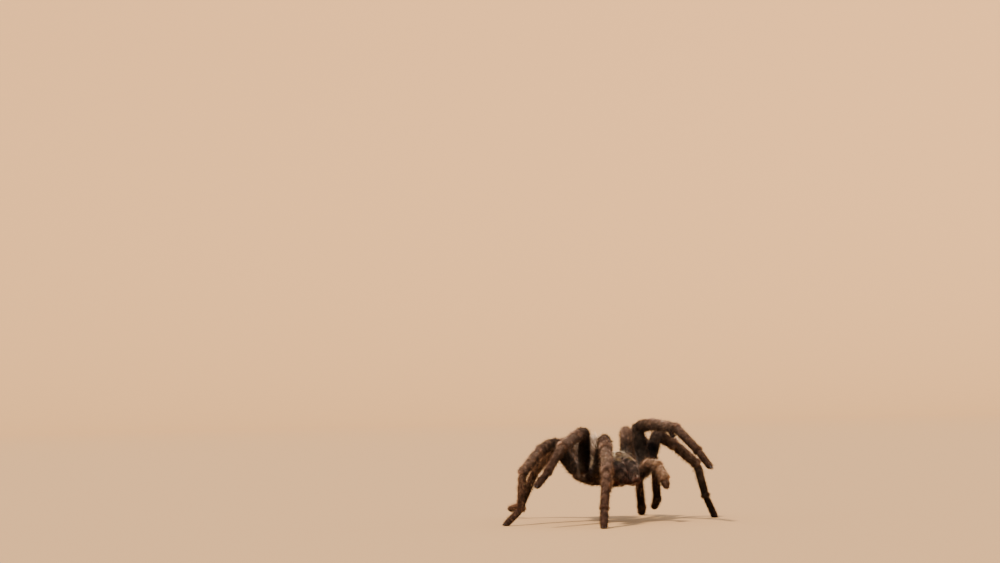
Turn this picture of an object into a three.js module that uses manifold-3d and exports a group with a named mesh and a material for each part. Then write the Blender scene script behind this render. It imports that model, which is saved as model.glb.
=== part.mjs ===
// A male tarantula walking, as a still life-size model.
// Millimetres, +Z up, the floor at z = 0. The spider faces -Y and its left side is +X.
import * as THREE from 'three';
import { mergeVertices } from 'three/addons/utils/BufferGeometryUtils.js';
import Module from 'manifold-3d';

const wasm = await Module();
wasm.setup();

// Shared sizes
const GAP = 0.3; // between pieces that touch
const FLOOR = 0;
const SHIFT_X = 0.5; // puts the origin under the middle of the whole spider
const SHIFT_Y = -5.95;
const RIDE_HEIGHT = 17.5; // body's middle above the floor
const BODY_ROLL = 1.88; // degrees, left side up

// Carapace: a low oval shield, its head end raised and blunt
const SHIELD_LENGTH = 17.2;
const SHIELD_HALF_WIDTH = 7.6;
const SHIELD_MIDDLE_Y = -0.3;
const SHIELD_FRONT_TAPER = 0.14;
const SHIELD_FLOOR_Z = 18.4;
const SHIELD_EDGE = 0.75;
const SHIELD_TOP_Z = 24.35;
const FOVEA_Y = 1.8;

// Eye tubercle: a small mound behind the front edge
const MOUND_Y = -7.0;
const MOUND_HALF = [1.35, 1.0, 0.95];
const EYE_RADIUS = 0.26;

// Soft sides between the shield and the breast plate
const SIDE_TOP_Z = 18.1;
const SIDE_FLOOR_Z = 13.5;
const STERNUM_Z = 12.2;

// Abdomen: an egg carried high behind a narrow waist
const ABDOMEN_FRONT_Y = 9.2;
const ABDOMEN_LENGTH = 20.4;
const ABDOMEN_HALF_WIDTH = 7.35;
const ABDOMEN_HALF_HEIGHT = 6.8;
const ABDOMEN_Z = 23.0;
const ABDOMEN_CORE = 0.9; // the coat's core stands this far inside its mean outline
const HAIR_ROWS = 9;
const HAIR_PER_ROW = 11;
const HAIR_LENGTH = 4.9;
const HAIR_LIFT = 1.9; // of the tips above the core, on the back; less on the sides
const HAIR_WIDTH = 1.95;
const HAIR_THICKNESS = 0.55;
const PEDICEL_RADIUS = 1.35;
const SPINNERET_LENGTH = 4.6;

// Jaws
const JAW_X = 2.2;
const JAW_HALF_WIDTH = 2.05;
const FANG_RADIUS = 0.85;

// Legs: lengths of femur, patella, tibia, metatarsus and tarsus, first pair to fourth
const LEG_LENGTHS = {
  1: [16.0, 7.8, 12.0, 13.2, 8.0],
  2: [15.0, 7.5, 11.0, 11.8, 8.0],
  3: [13.5, 6.5, 10.0, 12.5, 8.0],
  4: [16.0, 7.5, 13.5, 16.5, 8.5],
};
const FEMUR_HALF = 2.0;
const KNEE_HALF = 2.0;
const TIBIA_HALF = 1.75;
const METATARSUS_HALF = 1.36;
const TARSUS_HALF = 1.2;
const TARSUS_TIP = 1.08;
const TIP_INSET = 0.55; // from the foot's end back to the middle of its round tip
const FOOT_HEIGHT = 0.8; // middle of a planted foot's tip above the floor
const COXA_HALF = 2.1;
const STOUTNESS = { 1: 1.0, 2: 0.94, 3: 0.96, 4: 0.98 };
const SPUR_LENGTH = 3.0;
const CLAW_LENGTH = 1.25;
const CLAW_HALF = 0.24;

// Hips on the left side, first pair to fourth, level with the body's middle
const HIPS = { 1: [9.0, -9.0], 2: [12.0, -4.0], 3: [12.2, 2.0], 4: [9.5, 8.0] };

// Each leg: the compass heading of its femur's plane (degrees from +X towards +Y), that
// plane's lean, its twists beyond the knee and beyond the tibia, and each segment's pitch.
// A leg with no pitch for its tarsus stands with that foot flat on the floor.
const LEGS = [
  { name: 'leg_1_right', pair: 1, side: -1, heading: -106.8, lean: 7.6, twist: [0.1, -0.4],
    pitch: [47.5, -24.1, -38.2, -66.0] },
  { name: 'leg_2_right', pair: 2, side: -1, heading: -135.2, lean: 9.2, twist: [0.0, -3.8],
    pitch: [73.6, -11.0, -17.0, -45.2, -33.6] },
  { name: 'leg_3_right', pair: 3, side: -1, heading: 183.2, lean: -1.8, twist: [3.7, 9.0],
    pitch: [52.9, -26.8, -45.8, -84.2] },
  { name: 'leg_4_right', pair: 4, side: -1, heading: 96.8, lean: -8.9, twist: [-0.8, -3.1],
    pitch: [40.4, -19.7, -31.6, -55.5, -8.7] },
  { name: 'leg_1_left', pair: 1, side: 1, heading: -69.6, lean: 8.6, twist: [-0.5, 2.6],
    pitch: [112.0, 7.7, -7.4, -36.2, -42.3] },
  { name: 'leg_2_left', pair: 2, side: 1, heading: 29.1, lean: 11.6, twist: [-22.3, -5.7],
    pitch: [53.1, -29.5, -40.5, -82.3] },
  { name: 'leg_3_left', pair: 3, side: 1, heading: 58.5, lean: 5.6, twist: [-9.3, 17.8],
    pitch: [47.8, -24.6, -44.9, -74.5, -21.8] },
  { name: 'leg_4_left', pair: 4, side: 1, heading: 59.7, lean: 5.1, twist: [-2.9, 8.0],
    pitch: [56.3, -29.6, -43.8, -65.0] },
];

// Inner ends of the coxae round the breast plate, first pair to fourth, on the left side
const COXA_ROOTS = { 1: [3.2, -4.3], 2: [3.7, -1.7], 3: [3.7, 1.3], 4: [3.1, 4.2] };
const COXA_ROOT_Z = 14.7;

// Palps: the joints from the hip to the tip of the tarsus
const PALPS = [
  { name: 'palp_left', side: 1, joints: [[6.0, -10.8, 16.2], [6.7, -17.5, 20.2],
    [8.5, -21.0, 19.2], [9.4, -23.8, 15.0], [9.7, -24.6, 12.3]] },
  { name: 'palp_right', side: -1, joints: [[-6.0, -10.8, 16.0], [-9.0, -17.8, 19.4],
    [-10.6, -21.4, 18.0], [-11.8, -24.0, 14.2], [-12.2, -24.9, 11.6]] },
];
const PALP_ROOT = [2.3, -5.6];
const PALP_HALF = [1.5, 1.6, 1.55, 1.4, 1.15];

const up = new THREE.Vector3(0, 0, 1);
const rad = THREE.MathUtils.degToRad;
const clamp = THREE.MathUtils.clamp;
const vec = (p) => new THREE.Vector3(p[0], p[1], p[2]);

// ---- solids -------------------------------------------------------------------------

// Closes a stack of rings of equal count with a point at each end.
function loft(start, rings, end) {
  const sides = rings[0].length;
  const points = [start, ...rings.flat(), end];
  const faces = [];
  const at = (ring, k) => 1 + ring * sides + (k % sides);
  for (let k = 0; k < sides; k++) {
    faces.push([0, at(0, k + 1), at(0, k)]);
    for (let ring = 0; ring < rings.length - 1; ring++) {
      faces.push([at(ring, k), at(ring, k + 1), at(ring + 1, k + 1)]);
      faces.push([at(ring, k), at(ring + 1, k + 1), at(ring + 1, k)]);
    }
    faces.push([points.length - 1, at(rings.length - 1, k), at(rings.length - 1, k + 1)]);
  }
  return solid(points, faces);
}

// Makes a closed solid of points and triangles, turned so that its faces point out.
function solid(points, faces) {
  let volume = 0;
  for (const [a, b, c] of faces) {
    volume += points[a].dot(points[b].clone().cross(points[c]));
  }
  const index = volume > 0 ? faces.flat() : faces.map(([a, b, c]) => [a, c, b]).flat();
  const geometry = new THREE.BufferGeometry();
  geometry.setAttribute('position',
    new THREE.Float32BufferAttribute(points.flatMap((p) => [p.x, p.y, p.z]), 3));
  geometry.setIndex(index);
  return toManifold(geometry);
}

function toManifold(geometry) {
  const plain = geometry.clone();
  plain.deleteAttribute('normal');
  plain.deleteAttribute('uv');
  const merged = mergeVertices(plain, 1e-4);
  return new wasm.Manifold(new wasm.Mesh({
    numProp: 3,
    vertProperties: new Float32Array(merged.attributes.position.array),
    triVerts: new Uint32Array(merged.index.array),
  }));
}

// The largest closed piece of a solid.
function largest(shape) {
  let best = null;
  for (const piece of shape.decompose()) {
    if (!best || piece.volume() > best.volume()) {
      best = piece;
    }
  }
  return best;
}

// Keeps what lies on the side of a plane that its normal points to.
function keep(shape, normal, point, clear = GAP / 2) {
  const n = normal.clone().normalize();
  return shape.trimByPlane([n.x, n.y, n.z], n.dot(point) + clear);
}

// A straight tube of oval rings from a to b with domed ends. Stations are
// [distance along 0..1, half width, half height, rise], with the rise towards its back.
function tube(a, b, back, stations, sides = 11, domes = [1, 1]) {
  const axis = b.clone().sub(a);
  const length = axis.length();
  axis.normalize();
  const high = back.clone().addScaledVector(axis, -back.dot(axis)).normalize();
  const wide = axis.clone().cross(high);
  const ring = (s, w, h, rise) => {
    const middle = a.clone().addScaledVector(axis, s).addScaledVector(high, rise);
    return Array.from({ length: sides }, (_, k) => {
      const t = (2 * Math.PI * (k + 0.5)) / sides;
      return middle.clone().addScaledVector(wide, w * Math.cos(t))
        .addScaledVector(high, h * Math.sin(t));
    });
  };
  const rings = [];
  const first = stations[0];
  const last = stations[stations.length - 1];
  const depth0 = domes[0] * Math.min(first[1], first[2]);
  const depth1 = domes[1] * Math.min(last[1], last[2]);
  const turns = [rad(28), rad(58)];
  for (const t of turns) {
    rings.push(ring(first[0] * length - depth0 * Math.cos(t), first[1] * Math.sin(t),
      first[2] * Math.sin(t), first[3]));
  }
  for (const [s, w, h, rise] of stations) {
    rings.push(ring(s * length, w, h, rise));
  }
  for (const t of [...turns].reverse()) {
    rings.push(ring(last[0] * length + depth1 * Math.cos(t), last[1] * Math.sin(t),
      last[2] * Math.sin(t), last[3]));
  }
  const start = a.clone().addScaledVector(axis, first[0] * length - depth0)
    .addScaledVector(high, first[3]);
  const end = a.clone().addScaledVector(axis, last[0] * length + depth1)
    .addScaledVector(high, last[3]);
  return loft(start, rings, end);
}

// A round tube that follows a row of points, with a radius at each.
function hook(points, radii, sides = 8) {
  const curve = new THREE.CatmullRomCurve3(points.map(vec));
  const rings = [];
  const steps = radii.length - 1;
  let wide = null;
  for (let i = 0; i <= steps; i++) {
    const t = i / steps;
    const axis = curve.getTangent(t);
    wide = wide ? wide : new THREE.Vector3(1, 0, 0);
    wide.addScaledVector(axis, -wide.dot(axis)).normalize();
    const high = axis.clone().cross(wide);
    const middle = curve.getPoint(t);
    rings.push(Array.from({ length: sides }, (_, k) => {
      const u = (2 * Math.PI * k) / sides;
      return middle.clone().addScaledVector(wide, radii[i] * Math.cos(u))
        .addScaledVector(high, radii[i] * Math.sin(u));
    }));
  }
  const before = curve.getPoint(0).addScaledVector(curve.getTangent(0), -radii[0] * 0.6);
  const after = curve.getPoint(1).addScaledVector(curve.getTangent(1), radii[steps] * 1.5);
  return loft(before, rings, after);
}

// Repeatable random numbers from 0 to 1.
let seed = 20117;
function random() {
  seed = (seed * 1664525 + 1013904223) % 4294967296;
  return seed / 4294967296;
}

// A flat tapered lock that grows out of a surface, bends over and lies along it. Its
// root is sunk below the surface and its tip stands at the given lift.
function lock(root, normal, lie, length, lift, width, thickness) {
  const out = normal.clone().normalize();
  const along = lie.clone().addScaledVector(out, -lie.dot(out)).normalize();
  const across = along.clone().cross(out);
  const stations = [[-0.12, -0.75, 0.85, 1], [0.22, 0.4, 1, 1], [0.62, 0.82, 0.74, 0.8]];
  const rings = stations.map(([s, h, w, t]) => {
    const middle = root.clone().addScaledVector(along, s * length)
      .addScaledVector(out, h * (h > 0 ? lift : 1));
    const slope = out.clone().addScaledVector(along, s > 0.5 ? -0.15 : -0.75).normalize();
    return [[1, 1], [-1, 1], [-1, -1], [1, -1]].map(([i, k]) => middle.clone()
      .addScaledVector(across, (i * w * width) / 2).addScaledVector(slope, (k * t * thickness) / 2));
  });
  const foot = rings[0][0].clone().add(rings[0][2]).multiplyScalar(0.5);
  const tip = root.clone().addScaledVector(along, length).addScaledVector(out, lift);
  return loft(foot, rings, tip);
}

function join(shapes) {
  return largest(wasm.Manifold.union(shapes));
}

// ---- body, drawn level and then set in its walking attitude ----------------------------

const attitude = new THREE.Matrix4().makeTranslation(0, 0, RIDE_HEIGHT)
  .multiply(new THREE.Matrix4().makeRotationY(-rad(BODY_ROLL)))
  .multiply(new THREE.Matrix4().makeTranslation(0, 0, -RIDE_HEIGHT));
const posed = (shape) => shape.transform(attitude.toArray());
const posedPoint = (x, y, z) => new THREE.Vector3(x, y, z).applyMatrix4(attitude);

// Outline of the shield from above: blunt in front, rounded behind.
function shieldPoint(angle, scale, grow) {
  const c = Math.cos(angle);
  const s = Math.sin(angle);
  const power = c < 0 ? 2 / 2.9 : 2 / 2.25;
  const along = Math.sign(c) * Math.abs(c) ** power;
  const across = Math.sign(s) * Math.abs(s) ** power;
  const narrow = 1 - SHIELD_FRONT_TAPER * Math.max(0, -along) ** 1.5;
  return [across * (SHIELD_HALF_WIDTH + grow) * narrow * scale,
    SHIELD_MIDDLE_Y + along * (SHIELD_LENGTH / 2 + grow) * scale];
}

// Rise of the shield's back along the middle line, as a share of the whole.
function shieldRidge(y) {
  const head = 0.09 * Math.exp(-(((y + 5.2) / 3.0) ** 2));
  const dip = 0.11 * Math.exp(-(((y - FOVEA_Y) / 1.4) ** 2));
  const tail = 0.16 * clamp((y - 3) / 5, 0, 1);
  return 0.91 + head - dip - tail;
}

// Height of the dome at a share of the way out from its middle, steep at the head.
function shieldDome(f, angle) {
  const power = 2.5 + 3.5 * Math.max(0, -Math.cos(angle)) ** 2;
  return (1 - f ** power) ** 0.6;
}

function carapaceSolid(grow) {
  const sides = 28;
  const scales = [1, 0.965, 0.9, 0.78, 0.6, 0.38, 0.16];
  const rise = SHIELD_TOP_Z - SHIELD_FLOOR_Z - SHIELD_EDGE;
  const rings = [[], []];
  for (let k = 0; k < sides; k++) {
    const [x, y] = shieldPoint((2 * Math.PI * k) / sides, 1, grow);
    rings[0].push(new THREE.Vector3(x * 0.96, y * 0.97, SHIELD_FLOOR_Z - grow));
    rings[1].push(new THREE.Vector3(x, y, SHIELD_FLOOR_Z + SHIELD_EDGE * 0.55));
  }
  for (const f of scales.slice(1)) {
    rings.push(Array.from({ length: sides }, (_, k) => {
      const angle = (2 * Math.PI * k) / sides;
      const [x, y] = shieldPoint(angle, f, grow);
      const dome = shieldDome(f, angle);
      return new THREE.Vector3(x, y,
        SHIELD_FLOOR_Z + SHIELD_EDGE + rise * dome * shieldRidge(y) + grow);
    }));
  }
  const topZ = SHIELD_FLOOR_Z + SHIELD_EDGE + rise * shieldRidge(SHIELD_MIDDLE_Y) + grow;
  return loft(new THREE.Vector3(0, SHIELD_MIDDLE_Y, SHIELD_FLOOR_Z - grow), rings,
    new THREE.Vector3(0, SHIELD_MIDDLE_Y, topZ));
}

// The eye mound, with eight eyes in two rows of four.
function eyeTubercle() {
  const ball = new THREE.SphereGeometry(1, 11, 7);
  ball.scale(MOUND_HALF[0], MOUND_HALF[1], MOUND_HALF[2]);
  ball.translate(0, MOUND_Y, moundFoot());
  let shape = toManifold(ball);
  const eyes = [[0.38, -0.62, 0.62, 1.0], [0.95, -0.5, 0.42, 1.15],
    [1.0, 0.28, 0.5, 1.0], [0.62, 0.42, 0.68, 0.8]];
  for (const [x, y, z, size] of eyes) {
    for (const side of [-1, 1]) {
      const eye = new THREE.IcosahedronGeometry(EYE_RADIUS * size * 1.1, 0);
      eye.translate(side * x, MOUND_Y + y * MOUND_HALF[1], moundFoot() + z * MOUND_HALF[2]);
      shape = shape.add(toManifold(eye));
    }
  }
  return largest(shape.subtract(carapaceSolid(GAP)));
}

// Level of the shield's back at the eye mound.
function moundFoot() {
  const rise = SHIELD_TOP_Z - SHIELD_FLOOR_Z - SHIELD_EDGE;
  const f = Math.abs(MOUND_Y - SHIELD_MIDDLE_Y) / (SHIELD_LENGTH / 2);
  return SHIELD_FLOOR_Z + SHIELD_EDGE + rise * shieldDome(f, Math.PI) * shieldRidge(MOUND_Y);
}

// Soft sides of the body, wide under the shield and narrow at the breast plate.
function sides(grow) {
  const count = 24;
  const levels = [[SIDE_FLOOR_Z - grow, 0.5], [15.0, 0.55], [16.8, 0.74], [SIDE_TOP_Z + grow, 0.86]];
  const rings = levels.map(([z, f]) => Array.from({ length: count }, (_, k) => {
    const [x, y] = shieldPoint((2 * Math.PI * k) / count, f, 0);
    const out = new THREE.Vector2(x, y - SHIELD_MIDDLE_Y);
    out.setLength(out.length() + grow);
    return new THREE.Vector3(out.x, out.y + SHIELD_MIDDLE_Y, z);
  }));
  return loft(new THREE.Vector3(0, SHIELD_MIDDLE_Y, levels[0][0]), rings,
    new THREE.Vector3(0, SHIELD_MIDDLE_Y, levels[3][0]));
}

// Breast plate: a flat heart, its lip plate in front.
function sternum(grow) {
  const count = 20;
  const ring = (z, f) => Array.from({ length: count }, (_, k) => {
    const t = (2 * Math.PI * k) / count;
    const y = 0.2 + 4.9 * Math.cos(t);
    const x = 3.5 * Math.sin(t) * (1 - 0.16 * Math.cos(t)) * (1 - 0.1 * Math.cos(2 * t));
    return new THREE.Vector3(x * f + Math.sign(x) * grow, (y - 0.2) * f + 0.2, z);
  });
  const body = loft(new THREE.Vector3(0, 0.2, STERNUM_Z - grow),
    [ring(STERNUM_Z + 0.02 - grow, 0.72), ring(STERNUM_Z + 0.35 - grow, 0.94),
      ring(SIDE_FLOOR_Z - GAP + grow, 1)],
    new THREE.Vector3(0, 0.2, SIDE_FLOOR_Z - GAP + grow));
  const lip = new THREE.SphereGeometry(1, 12, 8);
  lip.scale(1.35 + grow, 1.3, 0.62 + grow);
  lip.translate(0, -5.2, STERNUM_Z + 0.68);
  return keep(largest(body.add(toManifold(lip))), new THREE.Vector3(0, 0, -1),
    new THREE.Vector3(0, 0, SIDE_FLOOR_Z - GAP + grow), 0);
}

// Middle and half sizes of the abdomen at a place along it, 0 in front and 1 behind.
function abdomenStation(t) {
  const bulge = Math.max(0, 1 - Math.abs(2 * t ** 0.92 - 1) ** 2.35) ** 0.5;
  return {
    y: ABDOMEN_FRONT_Y + ABDOMEN_LENGTH * t,
    z: ABDOMEN_Z - 2.6 * (1 - t) ** 3 - 1.9 * t ** 3,
    wide: ABDOMEN_HALF_WIDTH * bulge,
    high: ABDOMEN_HALF_HEIGHT * bulge,
  };
}

function abdomen(grow) {
  const count = 20;
  const places = [0.015, 0.06, 0.14, 0.25, 0.38, 0.52, 0.66, 0.79, 0.89, 0.955, 0.988];
  const rings = places.map((t) => {
    const s = abdomenStation(t);
    const inset = (ABDOMEN_CORE * s.wide) / ABDOMEN_HALF_WIDTH - grow;
    return Array.from({ length: count }, (_, k) => {
      const a = (2 * Math.PI * (k + 0.5)) / count;
      return new THREE.Vector3((s.wide - inset) * Math.cos(a), s.y,
        s.z + (s.high - inset) * Math.sin(a));
    });
  });
  const front = abdomenStation(0);
  const rear = abdomenStation(1);
  return loft(new THREE.Vector3(0, front.y - grow, front.z), rings,
    new THREE.Vector3(0, rear.y + grow, rear.z));
}

// The abdomen with its long hair in overlapping locks that sweep back. They are
// longest on the back and behind, and stay short beside the hind legs and below.
function abdomenWithHair() {
  const shapes = [abdomen(0)];
  for (let row = 0; row < HAIR_ROWS; row++) {
    const t = 0.07 + (0.88 * (row + 0.3)) / HAIR_ROWS;
    const s = abdomenStation(t);
    const next = abdomenStation(t + 0.02);
    const share = s.wide / ABDOMEN_HALF_WIDTH;
    const count = Math.max(7, Math.round(HAIR_PER_ROW * share));
    for (let k = 0; k < count; k++) {
      const a = (2 * Math.PI * (k + (row % 2) / 2 + 0.3 * (random() - 0.5))) / count;
      const core = 1 - ABDOMEN_CORE / ABDOMEN_HALF_WIDTH;
      const c = Math.cos(a);
      const h = Math.sin(a);
      const root = new THREE.Vector3(s.wide * core * c, s.y, s.z + s.high * core * h);
      const ahead = new THREE.Vector3(next.wide * core * c, next.y, next.z + next.high * core * h);
      const lie = ahead.sub(root).normalize();
      const normal = new THREE.Vector3(c / s.wide, 0, h / s.high).normalize();
      normal.addScaledVector(lie, -normal.dot(lie)).normalize();
      const upper = clamp((h + 0.75) / 1.2, 0, 1);
      const rear = clamp((t - 0.5) / 0.4, 0, 1);
      const lift = HAIR_LIFT * (0.42 + 0.58 * Math.max(upper, 0.6 * rear)) * (0.85 + 0.3 * random());
      const length = HAIR_LENGTH * (0.62 + 0.38 * upper) * (0.88 + 0.24 * random());
      const beside = Math.abs(c) > 0.8 && t < 0.62;
      const low = Math.min(lift, t < 0.2 ? 0.9 : HAIR_LIFT * 1.2);
      shapes.push(lock(root, normal, lie, length * (beside ? 0.8 : 1), beside ? 0.75 : low,
        HAIR_WIDTH * (0.85 + 0.3 * random()), HAIR_THICKNESS));
    }
  }
  return join(shapes);
}

// Jaw: a deep rounded block that bulges forward and slopes down to the fang.
function jaw(side, grow) {
  const stations = [[-8.4, 18.5, 0.92, 3.0], [-9.6, 18.75, 1, 3.5], [-11.4, 18.35, 1.02, 3.85],
    [-13.1, 17.5, 1.02, 3.75], [-14.5, 16.6, 0.97, 3.1], [-15.5, 15.9, 0.78, 2.2]];
  const count = 14;
  const rings = stations.map(([y, z, w, h]) => {
    const half = JAW_HALF_WIDTH * w + grow;
    return Array.from({ length: count }, (_, k) => {
      const a = (2 * Math.PI * (k + 0.5)) / count;
      const c = Math.cos(a);
      const s = Math.sin(a);
      const bow = c < 0 ? 0.5 : 0.85;
      return new THREE.Vector3(side * (JAW_X + half * Math.sign(c) * Math.abs(c) ** bow), y,
        z + (h + grow) * Math.sign(s) * Math.abs(s) ** 0.9);
    });
  });
  const block = loft(new THREE.Vector3(side * JAW_X, -7.0, 18.2), rings,
    new THREE.Vector3(side * JAW_X, -16.0 - grow, 15.6));
  return keep(block, new THREE.Vector3(side, 0, 0), new THREE.Vector3(0, 0, 0), GAP / 2 - grow);
}

// Fang: folded back under the jaw.
function fang(side, grow) {
  const path = [[2.15, -14.3, 14.4], [2.15, -14.2, 13.5], [2.1, -13.0, 13.0], [2.0, -11.3, 12.95],
    [1.9, -9.9, 13.3]].map(([x, y, z]) => [side * x, y, z]);
  const radii = [1, 0.98, 0.82, 0.62, 0.4, 0.12].map((r) => r * FANG_RADIUS + grow);
  return hook(path, radii);
}

// Outer spinneret: a tapering finger of three joints.
function spinneret(side, grow = 0) {
  const root = new THREE.Vector3(side * 1.5, 27.6, 19.2);
  const along = new THREE.Vector3(side * 0.22, 1, 0.05).normalize();
  const tip = root.clone().addScaledVector(along, SPINNERET_LENGTH + 1.2);
  const stations = [[0.05, 0.85], [0.4, 0.95], [0.44, 0.7], [0.66, 0.78], [0.7, 0.55], [0.97, 0.3]];
  return tube(root, tip, up, stations.map(([s, r]) => [s, r + grow, r * 0.95 + grow, 0]), 8);
}

// ---- legs --------------------------------------------------------------------------

// Joints of a leg from hip to foot, and the direction of its back at each segment.
function legJoints(leg) {
  const joints = [hipOf(leg.pair, leg.side)];
  const backs = [];
  const lengths = LEG_LENGTHS[leg.pair];
  lengths.forEach((length, i) => {
    const turn = i === 0 ? 0 : leg.twist[i < 3 ? 0 : 1];
    const heading = rad(leg.heading + turn);
    const out = new THREE.Vector3(Math.cos(heading), Math.sin(heading), 0);
    const cross = new THREE.Vector3(-Math.sin(heading), Math.cos(heading), 0);
    const rise = up.clone().multiplyScalar(Math.cos(rad(leg.lean)))
      .addScaledVector(cross, Math.sin(rad(leg.lean)));
    const p = i < leg.pitch.length ? rad(leg.pitch[i])
      : Math.asin((FOOT_HEIGHT - joints[i].z) / ((length - TIP_INSET) * Math.cos(rad(leg.lean))));
    const step = out.clone().multiplyScalar(Math.cos(p)).addScaledVector(rise, Math.sin(p));
    backs.push(out.clone().multiplyScalar(-Math.sin(p)).addScaledVector(rise, Math.cos(p)));
    joints.push(joints[i].clone().addScaledVector(step, length));
  });
  return { joints, backs };
}

// Normal of the plane that halves the bend between two segments.
function bend(a, b, c) {
  return b.clone().sub(a).normalize().add(c.clone().sub(b).normalize()).normalize();
}

function coxaRoot(pair, side) {
  const [x, y] = pair === 0 ? PALP_ROOT : COXA_ROOTS[pair];
  return posedPoint(side * x, y, COXA_ROOT_Z - (pair === 0 ? 0.6 : 0));
}

function hipOf(pair, side) {
  if (pair === 0) {
    return vec(PALPS.find((palp) => palp.side === side).joints[0]);
  }
  return posedPoint(side * HIPS[pair][0], HIPS[pair][1], RIDE_HEIGHT);
}

// Coxa and trochanter, from the breast plate out to the hip, shared out between its
// neighbours on each side by upright planes.
function coxa(pair, side, next, half) {
  const root = coxaRoot(pair, side);
  const hip = hipOf(pair, side);
  const stations = [[0.0, half * 0.72, half * 1.0, 0], [0.35, half * 0.95, half * 1.12, -0.1],
    [0.68, half, half * 1.08, -0.1], [0.8, half * 0.9, half * 0.98, 0], [1, half * 0.92, half * 0.95, 0]];
  let shape = tube(root, hip, up, stations);
  shape = keep(shape, bend(root, hip, next).negate(), hip);
  for (const other of [pair - 1, pair + 1]) {
    if (other < 0 || other > 4) {
      continue;
    }
    const a = root.clone().add(coxaRoot(other, side)).multiplyScalar(0.5);
    const b = hip.clone().add(hipOf(other, side)).multiplyScalar(0.5);
    const normal = b.clone().sub(a).cross(up);
    if (normal.dot(hip.clone().sub(b)) < 0) {
      normal.negate();
    }
    shape = keep(shape, normal, b);
  }
  return largest(shape.subtract(posed(sides(GAP))).subtract(posed(sternum(GAP)))
    .subtract(posed(carapaceSolid(GAP))));
}

function onFloor(shape) {
  return keep(shape, up, new THREE.Vector3(0, 0, FLOOR), 0);
}

// Five pieces of a leg. Each ends at the plane that halves the bend at its joint.
function legPieces(leg) {
  const { joints: j, backs } = legJoints(leg);
  const planes = [1, 3, 4].map((i) => ({ at: j[i], normal: bend(j[i - 1], j[i], j[i + 1]) }));
  const root = coxaRoot(leg.pair, leg.side);
  const hipNormal = bend(root, j[0], j[1]);
  const stout = STOUTNESS[leg.pair];
  const f = FEMUR_HALF * stout;
  const k = KNEE_HALF * stout;
  const t = TIBIA_HALF * stout;
  const m = METATARSUS_HALF * stout;
  const r = TARSUS_HALF * stout;
  const femur = tube(j[0], j[1], backs[0], [[0, f * 0.86, f * 0.9, 0], [0.18, f * 0.95, f * 1.02, 0],
    [0.45, f, f * 1.06, 0.05], [0.8, f * 0.96, f, 0.05], [1, k * 0.93, k * 0.96, 0]]);
  const patella = tube(j[1], j[2], backs[1], [[0, k * 0.93, k * 0.96, 0],
    [0.45, k * 0.96, k, 0.08], [1, t * 0.97, t, 0]]);
  const tibia = tube(j[2], j[3], backs[2], [[0, t * 0.97, t, 0], [0.3, t, t * 1.03, 0],
    [0.75, t * 0.97, t, 0], [1, m * 1.05, m * 1.06, 0]]);
  let shank = patella.add(tibia);
  if (leg.pair === 1) {
    shank = shank.add(tibiaSpur(leg, j[2], j[3], backs[2]));
  }
  const metatarsus = tube(j[3], j[4], backs[3], [[0, m * 1.05, m * 1.06, 0], [0.35, m, m, 0],
    [0.8, m * 0.98, m * 0.98, 0], [1, r * 0.94, r * 0.92, 0]], 9);
  const reach = 1 - TIP_INSET / LEG_LENGTHS[leg.pair][4];
  const tarsus = tube(j[4], j[5], backs[4], [[0, r * 0.94, r * 0.92, 0], [0.4, r, r * 0.98, 0],
    [reach, TARSUS_TIP, TARSUS_TIP, 0]], 9);
  return {
    coxa: coxa(leg.pair, leg.side, j[1], COXA_HALF),
    femur: keep(keep(femur, hipNormal, j[0]), planes[0].normal.clone().negate(), j[1]),
    patella_tibia: keep(keep(shank, planes[0].normal, j[1]), planes[1].normal.clone().negate(), j[3]),
    metatarsus: onFloor(keep(keep(metatarsus, planes[1].normal, j[3]),
      planes[2].normal.clone().negate(), j[4])),
    tarsus: onFloor(keep(clawed(tarsus, j[4], j[5], backs[4], TARSUS_TIP, CLAW_LENGTH),
      planes[2].normal, j[4])),
  };
}

// Mating spur under the far end of a first tibia: a short blunt horn.
function tibiaSpur(leg, a, b, back) {
  const axis = b.clone().sub(a).normalize();
  const inner = axis.clone().cross(back).multiplyScalar(leg.side);
  const root = a.clone().lerp(b, 0.82).addScaledVector(back, -TIBIA_HALF * 0.5);
  const out = back.clone().multiplyScalar(-1).addScaledVector(inner, 0.25)
    .addScaledVector(axis, 0.55).normalize();
  const middle = root.clone().addScaledVector(out, SPUR_LENGTH * 0.6);
  const tip = middle.clone().addScaledVector(out, SPUR_LENGTH * 0.35)
    .addScaledVector(axis, SPUR_LENGTH * 0.3);
  return hook([root, middle, tip].map((p) => p.toArray()), [0.85, 0.75, 0.55, 0.32], 8);
}

// Foot with its two claws, which reach forward and down from the tip.
function clawed(shape, a, b, back, half, length) {
  const axis = b.clone().sub(a).normalize();
  const high = back.clone().addScaledVector(axis, -back.dot(axis)).normalize();
  const wide = axis.clone().cross(high);
  const claws = [-1, 1].map((side) => {
    const root = b.clone().addScaledVector(axis, -TIP_INSET).addScaledVector(wide, side * half * 0.35)
      .addScaledVector(high, half * 0.35);
    const middle = root.clone().addScaledVector(axis, half + length * 0.3)
      .addScaledVector(wide, side * 0.1);
    const tip = middle.clone().addScaledVector(axis, length * 0.45).addScaledVector(high, -length * 0.4);
    const lift = Math.max(0, FLOOR + CLAW_HALF * 0.5 - tip.z);
    tip.z += lift;
    middle.z += lift * 0.5;
    return hook([root, middle, tip].map((p) => p.toArray()),
      [CLAW_HALF, CLAW_HALF * 0.9, CLAW_HALF * 0.25], 4);
  });
  return join([shape, ...claws]);
}

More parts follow.
